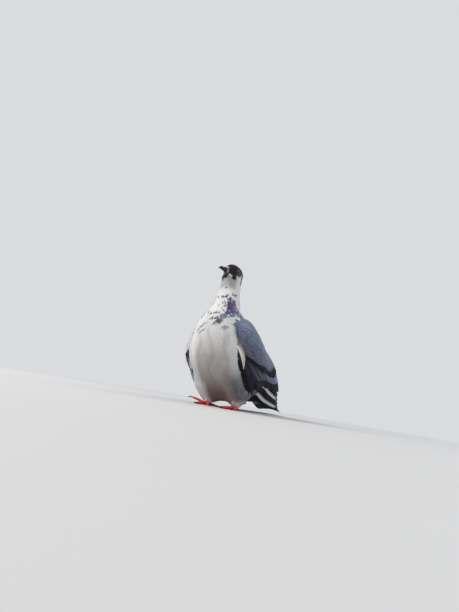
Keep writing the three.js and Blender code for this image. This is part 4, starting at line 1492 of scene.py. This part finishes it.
class TailSheet(Sheet):
    """The tail's domed upper face, as a height above the tail's axis."""

    far_start = 0.05

    def __init__(self):
        s_values = np.arange(0, TAIL_LENGTH + 1 * MM, 2 * MM)
        q_values = np.arange(-28, 29, 1.0) * MM
        super().__init__(["tail"], s_values, q_values, 3)

    def rays(self, s, q):
        starts = self.ground(s, q) + TAIL_UP * self.far_start
        return starts, np.tile(-TAIL_UP, (len(s), 1))

    def ground(self, s, q):
        return TAIL_AXIS + s[..., None] * TAIL_BACK + q[..., None] * np.array([1.0, 0, 0])

    def scale(self, s, q):
        return np.ones_like(s)

    def place(self, s, q, lift):
        return self.ground(s, q) + (self.height(s, q) + lift)[..., None] * TAIL_UP


def tail_colours(s, q, vane, chance):
    """A slate tail with a black band near its end and a pale edge on the outermost feathers."""
    shade = 1 + 0.08 * (chance[:, None, None, None] - 0.5)
    band = ease(s, TAIL_LENGTH - 34 * MM, TAIL_LENGTH - 28 * MM)
    band = band * ease(s, TAIL_LENGTH - 2 * MM, TAIL_LENGTH - 6 * MM)
    colour = blend(tone(112, 118, 134) * shade, BAR, 0.92 * band)
    colour = blend(colour, INK, 0.5 * ease(np.abs(vane.across), 0.10, 0.0)[None, None, :])
    outer = ease(np.abs(q), 21 * MM, 24 * MM) * ease(s, TAIL_LENGTH - 30 * MM, TAIL_LENGTH - 40 * MM)
    return blend(colour, PALE_GREY, 0.8 * outer)


def make_tail(seed):
    """Twelve tail feathers, the middle pair on top, and coverts over and under their roots."""
    rng = np.random.default_rng(seed)
    sheet = TailSheet()
    number = np.arange(RECTRICES)
    place = (number - (RECTRICES - 1) / 2) / ((RECTRICES - 1) / 2)
    depth = np.abs(place)
    tips = np.stack([TAIL_LENGTH - (0.6 + 3.2 * depth**2) * MM, 18.6 * MM * place], axis=1)
    roots = np.stack([np.full(RECTRICES, 10 * MM), 6.5 * MM * place], axis=1)
    half = np.full(RECTRICES, 7.6 * MM)
    lift = (-0.25 - 1.9 * depth) * MM
    s, q = straight(BLUNT_VANE, roots, tips)
    grids = lay_on_sheet(sheet, BLUNT_VANE, s, q, half, lift - 0.3 * MM, lift, 0.3 * MM, 0.3 * MM)
    colours = tail_colours(grids[2], grids[3], BLUNT_VANE, rng.random(RECTRICES))
    sheet_piece("tail_feathers", BLUNT_VANE, grids, colours, "plumage_dark", ["tail"], 6)

    roots, tips, halves, lifts = [], [], [], []
    for above in (True, False):
        for row, reach in enumerate(TAIL_COVERT_REACHES):
            for step in range(-4, 5):
                q = step / 4 * (9 + 0.12 * reach) * MM + rng.normal(0, 0.4) * MM
                tips.append([reach * MM + rng.normal(0, 0.8) * MM, q])
                roots.append([reach * MM - 26 * MM, 0.55 * q])
                halves.append(5.6 * MM)
                lifts.append((1.5 - 0.35 * row if above else -3.9 + 0.35 * row) * MM)
    s, q = straight(COVERT_VANE, np.array(roots), np.array(tips))
    lifts = np.array(lifts)
    grids = lay_on_sheet(sheet, COVERT_VANE, s, q, np.array(halves), lifts, lifts, 0.25 * MM, 0.3 * MM)
    base = np.where(lifts[:, None] > 0, tone(112, 118, 136), tone(56, 58, 70))
    shade = rng.uniform(0.9, 1.05, (len(roots), 1))
    colours = np.tile((base * shade)[:, None, None, :], (1,) + grids[2].shape[1:] + (1,))
    sheet_piece("tail_coverts", COVERT_VANE, grids, colours, "plumage_white", [])


# Head: eyes, lids, bill and ceres ----------------------------------------------------------------

EYE_RADIUS = (box["eye_left"][1].z - box["eye_left"][0].z) / 2


def eye_frame(side):
    """The eye's axis and two directions square to it; the eyes look out and a little forward."""
    way = SIDES[side]
    axis = unit(way * head_left * 1.0 + head_forward * 0.20 - head_up * 0.04)
    upward = across_flow(head_up, axis)
    return axis, np.cross(upward, axis), upward


# The angles from the eye's axis where the pupil ends and where the rings of the eyeball lie.
PUPIL = 0.37
EYE_RINGS = np.linspace(0.02, math.pi - 0.02, 40)
EYE_SEGMENTS = 48


def make_eye(side):
    """A glossy eyeball: a dark pupil, and a red iris with a darker rim."""
    axis, across, upward = eye_frame(side)
    angle = np.arange(EYE_SEGMENTS) / EYE_SEGMENTS * 2 * math.pi
    circle = across * np.cos(angle)[:, None] + upward * np.sin(angle)[:, None]
    rows = [
        eye_centre[side] + circle * (EYE_RADIUS * math.sin(t)) + axis * (EYE_RADIUS * math.cos(t))
        for t in EYE_RINGS
    ]
    grid = np.arange(EYE_RINGS.size * EYE_SEGMENTS).reshape(-1, EYE_SEGMENTS)
    ball = mesh_object(f"eyeball_{side}", np.vstack(rows), grid_quads(np.hstack([grid, grid[:, :1]])))
    close_holes(ball)
    ring = np.repeat(EYE_RINGS, EYE_SEGMENTS)
    angle = np.tile(angle, EYE_RINGS.size)
    iris = blend(tone(138, 34, 22), tone(78, 18, 16), ease(ring, 0.44, 0.64))
    streaks = 0.5 + 0.5 * np.sin(angle * 19) * np.sin(angle * 7 + ring * 9)
    iris = iris * (0.82 + 0.25 * streaks[:, None])
    colour = blend(tone(8, 7, 8), iris, ease(ring, PUPIL, PUPIL + 0.04))
    colour = blend(colour, tone(30, 11, 12), ease(ring, 0.66, 0.78))
    give_colours(ball, colour)
    finish_piece(ball, eye_material, "eye", f"eye_{side}")


def close_holes(thing):
    """Caps the small open ends of a mesh."""
    mesh = bmesh.new()
    mesh.from_mesh(thing.data)
    rim = [edge for edge in mesh.edges if edge.is_boundary]
    bmesh.ops.holes_fill(mesh, edges=rim, sides=0)
    bmesh.ops.recalc_face_normals(mesh, faces=mesh.faces)
    mesh.to_mesh(thing.data)
    mesh.free()


LID_SEGMENTS = 72
OPENING_WIDE = math.radians(36)
OPENING_HIGH = math.radians(24)
LIDS_END = math.radians(104)


def lid_arrays(side):
    """The bare wrinkled lids round an eye, with an almond opening and a heavier upper lid."""
    axis, across, upward = eye_frame(side)
    angle = np.arange(LID_SEGMENTS) / LID_SEGMENTS * 2 * math.pi
    share = np.linspace(0, 1, 13)[:, None]
    opening = np.hypot(OPENING_WIDE * np.cos(angle), OPENING_HIGH * np.sin(angle))
    polar = opening + (LIDS_END - opening) * share
    # Folds run round the lids, and fine wrinkles cross them.
    heavy = 1 + 0.35 * np.clip(np.sin(angle), 0, 1)
    edge = ease(share, 0.0, 0.14)
    body = ease(share, 1.15, 0.35)
    folds = 0.10 * np.sin(share * 15) + 0.05 * np.sin(angle * 23 + share * 6)
    swell = (0.14 + (0.40 * heavy + folds) * edge * body) * MM
    outer = EYE_RADIUS + swell
    inner = np.full_like(swell, EYE_RADIUS - 0.25 * MM)
    aside = across * np.cos(angle)[:, None] + upward * np.sin(angle)[:, None]
    rows = []
    for radius, at in ((outer, polar), (inner[::-1], polar[::-1])):
        out = np.sin(at)[..., None] * aside[None] + np.cos(at)[..., None] * axis
        rows.append(eye_centre[side] + out * radius[..., None])
    points = np.concatenate(rows).reshape(-1, 3)
    grid = np.arange(len(points)).reshape(-1, LID_SEGMENTS)
    grid = np.vstack([grid, grid[:1]])
    grid = np.hstack([grid, grid[:, :1]])
    outward = np.concatenate([share, share[::-1]]) * np.ones(LID_SEGMENTS)
    tint = blend(tone(14, 10, 11), tone(32, 23, 23), ease(outward, 0.05, 0.3))
    return points, grid_quads(grid), tint.reshape(-1, 3)


def smoothed_piece(name, nodes, voxel, rounds, colour_of, material, slot_name, shape=None):
    """A fine smooth piece in the place of coarse CAD nodes, coloured by a function of its points."""
    points, quads = fused(nodes, 0, voxel, rounds)
    if shape is not None:
        points = shape(points, point_normals(points, quads))
    piece = mesh_object(name, points, quads)
    give_colours(piece, colour_of(points))
    finish_piece(piece, material, slot_name, *nodes)


def bill_colours(points):
    """Reddish-brown horn at the base, blue-black towards the tip, paler at the gape."""
    forward, _, up = in_head(points)
    colour = blend(tone(50, 31, 36), tone(20, 21, 42), ease(forward, 19, 27))
    gape = ease(np.abs(up + 3.6 + 0.12 * (forward - 14)), 1.0, 0.3) * ease(forward, 21, 15)
    return blend(colour, tone(170, 146, 142), 0.7 * gape)


BILL_SWELL = 0.3 * MM
NOSTRIL_FORWARD = 21.5
NOSTRIL_DEPTH = 0.55 * MM


def with_nostrils(points, normals):
    """A fuller ridge and a blunter tip, with a slanting slit pressed in under each cere."""
    forward, left, up = in_head(points)
    ahead = forward - NOSTRIL_FORWARD
    slit = ease(np.abs(up + 1.7 - 0.25 * ahead), 0.75, 0.1) * ease(np.abs(ahead), 3.0, 1.6)
    pressed = slit * ease(np.abs(left), 0.9, 1.5)
    ridge = ease(up, -4.5, -0.5) * (1.5 + 0.8 * ease(forward, 27, 21)) * MM
    blunt = ease(forward, 27, 33) * 0.35 * MM
    swell = BILL_SWELL + blunt - NOSTRIL_DEPTH * pressed
    return points + normals * swell[:, None] + head_up * ridge[:, None]


def fuller(points, normals):
    return points + normals * BILL_SWELL


def make_bill():
    bill = (0.25 * MM, 8, bill_colours, horn_material, "bill")
    smoothed_piece("bill_upper_horn", ["bill_upper"], *bill, with_nostrils)
    smoothed_piece("bill_lower_horn", ["bill_lower"], *bill, fuller)
    piece = mesh_object("ceres", *ceres)
    give_colours(piece, np.tile(tone(232, 216, 214), (len(ceres[0]), 1)))
    finish_piece(piece, cere_material, "cere", "cere_left", "cere_right")


# Feet --------------------------------------------------------------------------------------------


def claw_colours(points):
    """Dark claws, all of one tone."""
    return np.tile(tone(44, 40, 44), (len(points), 1))


def leg_colours(points):
    """Red legs, a little darker under the toes within a few millimetres of the floor: painted shade."""
    return blend(tone(196, 44, 50), tone(150, 30, 44), 0.5 * ease(points[:, 2] / MM, 3.0, 0.6))


def middle_line(names, steps):
    """Centres of slices across a long thin node, from its inner end to its outer end."""
    points, _ = node_arrays(names)
    mean = points.mean(axis=0)
    way = np.linalg.svd(points - mean, full_matrices=False)[2][0]
    along = (points - mean) @ way
    marks = np.linspace(along.min(), along.max(), steps)
    reach = (marks[1] - marks[0]) * 0.9
    centres = []
    for mark in marks[1:-1]:
        slab = points[np.abs(along - mark) < reach]
        centres.append((slab.min(axis=0) + slab.max(axis=0)) / 2 if len(slab) else mean + way * mark)
    return np.array(centres)


SCUTE_ARC = np.radians(np.linspace(-105, 105, 9))
# Where the rows of one plate lie along it, in gaps, and how high each stands off the leg.
SCUTE_ROWS = (-0.62, -0.25, 0.2, 0.5, 0.62)
SCUTE_SWELLS = np.array([-0.05, 0.10, 0.20, 0.16, 0.0]) * MM
# How bright each row of a plate is drawn: painted light where the plate stands highest and painted shade at
# its edges.
SCUTE_PAINTED_LIGHT_AND_SHADE = np.array([0.94, 1.0, 1.06, 1.02, 0.8])
SCUTE_REACH = 2.2 * MM


def places_along(line, lengths, at):
    return np.array([np.interp(at, lengths, line[:, axis]) for axis in range(3)])


def scute_rows(names, gap, outward):
    """Curved plates across a toe or shank, each lapping the next, laid on the leg's surface."""
    line = middle_line(names, 9)
    lengths = np.concatenate([[0], np.cumsum(np.linalg.norm(np.diff(line, axis=0), axis=1))])
    count = max(int(lengths[-1] / gap), 2)
    plates = []
    for number in range(count):
        middle = lengths[-1] * (number + 0.5) / count
        rows = []
        for shift in SCUTE_ROWS:
            at = middle + shift * gap
            way = unit(places_along(line, lengths, at + MM) - places_along(line, lengths, at - MM))
            up = across_flow(outward[None], way[None])[0]
            side = np.cross(way, up)
            circle = np.cos(SCUTE_ARC)[:, None] * up + np.sin(SCUTE_ARC)[:, None] * side
            rows.append(places_along(line, lengths, at) + circle * SCUTE_REACH)
        plates.append(rows)
    return np.array(plates)


def make_scutes():
    """Red plates along the tops of the toes and the fronts of the shanks."""
    sets = []
    for side in SIDES:
        for toe in TOES:
            sets.append(scute_rows([f"toe_{side}_{toe}"], 1.45 * MM, np.array([0, 0, 1.0])))
        sets.append(scute_rows([f"shank_{side}"], 1.5 * MM, np.array([0, -1.0, 0.15])))
    plates = np.concatenate(sets)
    _, rows, columns, _ = plates.shape
    vane = Vane(np.linspace(0, 1, rows), np.ones(rows), columns)
    spots, normals = legs_hull.nearest(plates)
    edge = (1 - np.abs(vane.across) ** 6)[None, None, :]
    top = spots + normals * (SCUTE_SWELLS[None, :, None] * edge + 0.03 * MM)[..., None]
    bottom = spots - normals * 0.12 * MM
    bottom[:, [0, -1]] = top[:, [0, -1]]
    colours = leg_colours(top.reshape(-1, 3)).reshape(top.shape)
    # Each plate's rows are brightened and darkened: painted light and shade on the plates.
    colours = colours * SCUTE_PAINTED_LIGHT_AND_SHADE[None, :, None, None]
    piece = feather_piece("leg_scutes", vane, top, bottom, colours, plates[:, 2, 4])
    finish_piece(piece, leg_material, "leg")


def make_claws():
    nodes = [f"claw_{side}_{toe}" for side in SIDES for toe in TOES]
    smoothed_piece("claws_horn", nodes, 0.2 * MM, 3, claw_colours, horn_material, "claw")


def make_written(name, roughness, scale, strength, depth, **sockets):
    """A material that reads the written colours, with a fine bump and mottling of its own."""
    material, tree, shader = new_material(name, roughness, **sockets)
    written = add_node(tree, "ShaderNodeAttribute", attribute_name="Plumage")
    grain = noise(tree, scale)
    colour = multiplied(tree, written.outputs["Color"], remapped(tree, grain, 0.8, 1.2))
    tree.links.new(colour, shader.inputs["Base Color"])
    bumped(tree, shader, grain, strength, depth)
    return material


eye_material = make_written("eye_gloss", 0.1, 1500, 0.02, 0.00002, Specular_IOR_Level=0.35)
horn_material = make_written("horn", 0.42, 1200, 0.25, 0.0001, Specular_IOR_Level=0.3)
cere_material = make_written("cere_chalk", 0.8, 2400, 0.6, 0.0002)
leg_material = make_written("leg_scale", 0.42, 1800, 0.35, 0.00012, Coat_Weight=0.1)
skin_material = make_written("bare_skin", 0.6, 2200, 0.5, 0.00015)

# The stage ---------------------------------------------------------------------------------------

# The camera looks up at the breast from low at the bird's front left. It is near, with a wide lens,
# since it has to stay above the floor.
CAMERA_BEARING = math.radians(32)
CAMERA_DISTANCE = 0.46
CAMERA_HEIGHT = 0.012
CAMERA_TURN = Matrix.Rotation(math.radians(33.55), 4, "Z")
CAMERA_TIP = Matrix.Rotation(math.radians(90 + 17.83), 4, "X")
CAMERA_ROLL = Matrix.Rotation(math.radians(9.5), 4, "Z")
CAMERA_LENS = 17.06
SENSOR_WIDTH = 36

FLOOR_REACH = 6.0
FADE_FROM = 0.3
FADE_TO = 1.2
BACKDROP = (0.70, 0.71, 0.73)
LAMP_AIM = Vector((0, -0.03, 0.11))
# For each lamp: its place, size, watts and colour.
LAMPS = {
    "key": ((-0.9, -1.1, 1.3), 0.8, 32.0, (1.0, 0.985, 0.96)),
    "fill": ((1.4, -0.7, 0.7), 1.4, 4.0, (0.93, 0.96, 1.0)),
    "rim": ((0.9, 1.2, 1.4), 1.2, 12.0, (0.95, 0.97, 1.0)),
}


def make_camera():
    feet_y = (box["shank_left"][0].y + box["shank_left"][1].y) / 2
    data = bpy.data.cameras.new("camera")
    data.lens = CAMERA_LENS
    data.sensor_width = SENSOR_WIDTH
    data.clip_start = 0.01
    camera = bpy.data.objects.new("camera", data)
    place = Vector((
        math.sin(CAMERA_BEARING) * CAMERA_DISTANCE,
        feet_y - math.cos(CAMERA_BEARING) * CAMERA_DISTANCE,
        CAMERA_HEIGHT,
    ))
    camera.matrix_world = Matrix.Translation(place) @ CAMERA_TURN @ CAMERA_TIP @ CAMERA_ROLL
    bpy.context.scene.collection.objects.link(camera)
    bpy.context.scene.camera = camera


def make_lights():
    for name, (place, size, watts, colour) in LAMPS.items():
        lamp = bpy.data.lights.new(name, "AREA")
        lamp.size = size
        lamp.energy = watts
        lamp.color = colour
        thing = bpy.data.objects.new(name, lamp)
        thing.location = place
        thing.rotation_euler = (LAMP_AIM - Vector(place)).to_track_quat("-Z", "Y").to_euler()
        bpy.context.scene.collection.objects.link(thing)
    world = bpy.data.worlds.new("studio")
    world.use_nodes = True
    background = world.node_tree.nodes["Background"]
    background.inputs["Color"].default_value = (*BACKDROP, 1)
    background.inputs["Strength"].default_value = 1.0
    bpy.context.scene.world = world
    bpy.context.scene.view_settings.view_transform = "Standard"


def make_floor():
    """A wide pale floor that fades to the backdrop's colour. A low camera still sees a faint edge."""
    turn = np.linspace(0, 2 * math.pi, 97)[:-1]
    radii = np.array([0.1 * MM, FADE_FROM, FADE_TO, FLOOR_REACH])
    circle = np.stack([np.cos(turn), np.sin(turn), np.zeros_like(turn)], axis=1)
    points = np.vstack([circle * r for r in radii])
    grid = np.arange(len(points)).reshape(len(radii), len(turn))
    floor = mesh_object("floor", points, grid_quads(np.hstack([grid, grid[:, :1]])))
    material, tree, shader = new_material("floor", 0.85)
    grain = remapped(tree, noise(tree, 6.0), 0.435, 0.46)
    grey = add_node(tree, "ShaderNodeCombineColor")
    for channel in ("Red", "Green", "Blue"):
        tree.links.new(grain, grey.inputs[channel])
    tree.links.new(grey.outputs["Color"], shader.inputs["Base Color"])
    glow = add_node(tree, "ShaderNodeEmission")
    glow.inputs["Color"].default_value = (*BACKDROP, 1)
    where = add_node(tree, "ShaderNodeTexCoord")
    away = add_node(tree, "ShaderNodeVectorMath", operation="LENGTH")
    tree.links.new(where.outputs["Object"], away.inputs[0])
    smooth = {"interpolation_type": "SMOOTHSTEP"}
    fade = remapped(tree, away.outputs["Value"], 0.0, 1.0, FADE_FROM, FADE_TO, **smooth)
    mix = add_node(tree, "ShaderNodeMixShader")
    tree.links.new(fade, mix.inputs["Fac"])
    tree.links.new(shader.outputs["BSDF"], mix.inputs[1])
    tree.links.new(glow.outputs["Emission"], mix.inputs[2])
    tree.links.new(mix.outputs["Shader"], tree.nodes["Material Output"].inputs["Surface"])
    floor.data.materials.append(material)


make_camera()
make_lights()
make_floor()

# Making it ---------------------------------------------------------------------------------------


def dressed_skin():
    """The skin with its eyelids, in the plumage's colours where feathers grow, and bare elsewhere."""
    points, quads = make_skin()
    colours, _ = markings(points, np.full(len(points), 0.5))
    spot, _ = legs_hull.nearest(points)
    leg = ease(np.linalg.norm(points - spot, axis=1), 0.5 * MM, 0.2 * MM)
    colours = blend(colours, leg_colours(points), leg)
    for side in SIDES:
        lid_points, lid_quads, lid_tints = lid_arrays(side)
        quads = np.vstack([quads, lid_quads + len(points)])
        points = np.vstack([points, lid_points])
        colours = np.vstack([colours, lid_tints])
    skin = mesh_object("skin", points, quads)
    give_colours(skin, colours)
    give_uv(skin, "OFBake", unwrap(points))
    finish_piece(skin, skin_material, "plumage_white", *BODY_NODES, *COVERT_NODES, *LEG_NODES)


dressed_skin()
make_coat()
for number, side in enumerate(SIDES):
    make_wing(side, 200 + number)
    make_eye(side)
make_tail(300)
make_leg_tufts(400)
make_bill()
make_claws()
make_scutes()
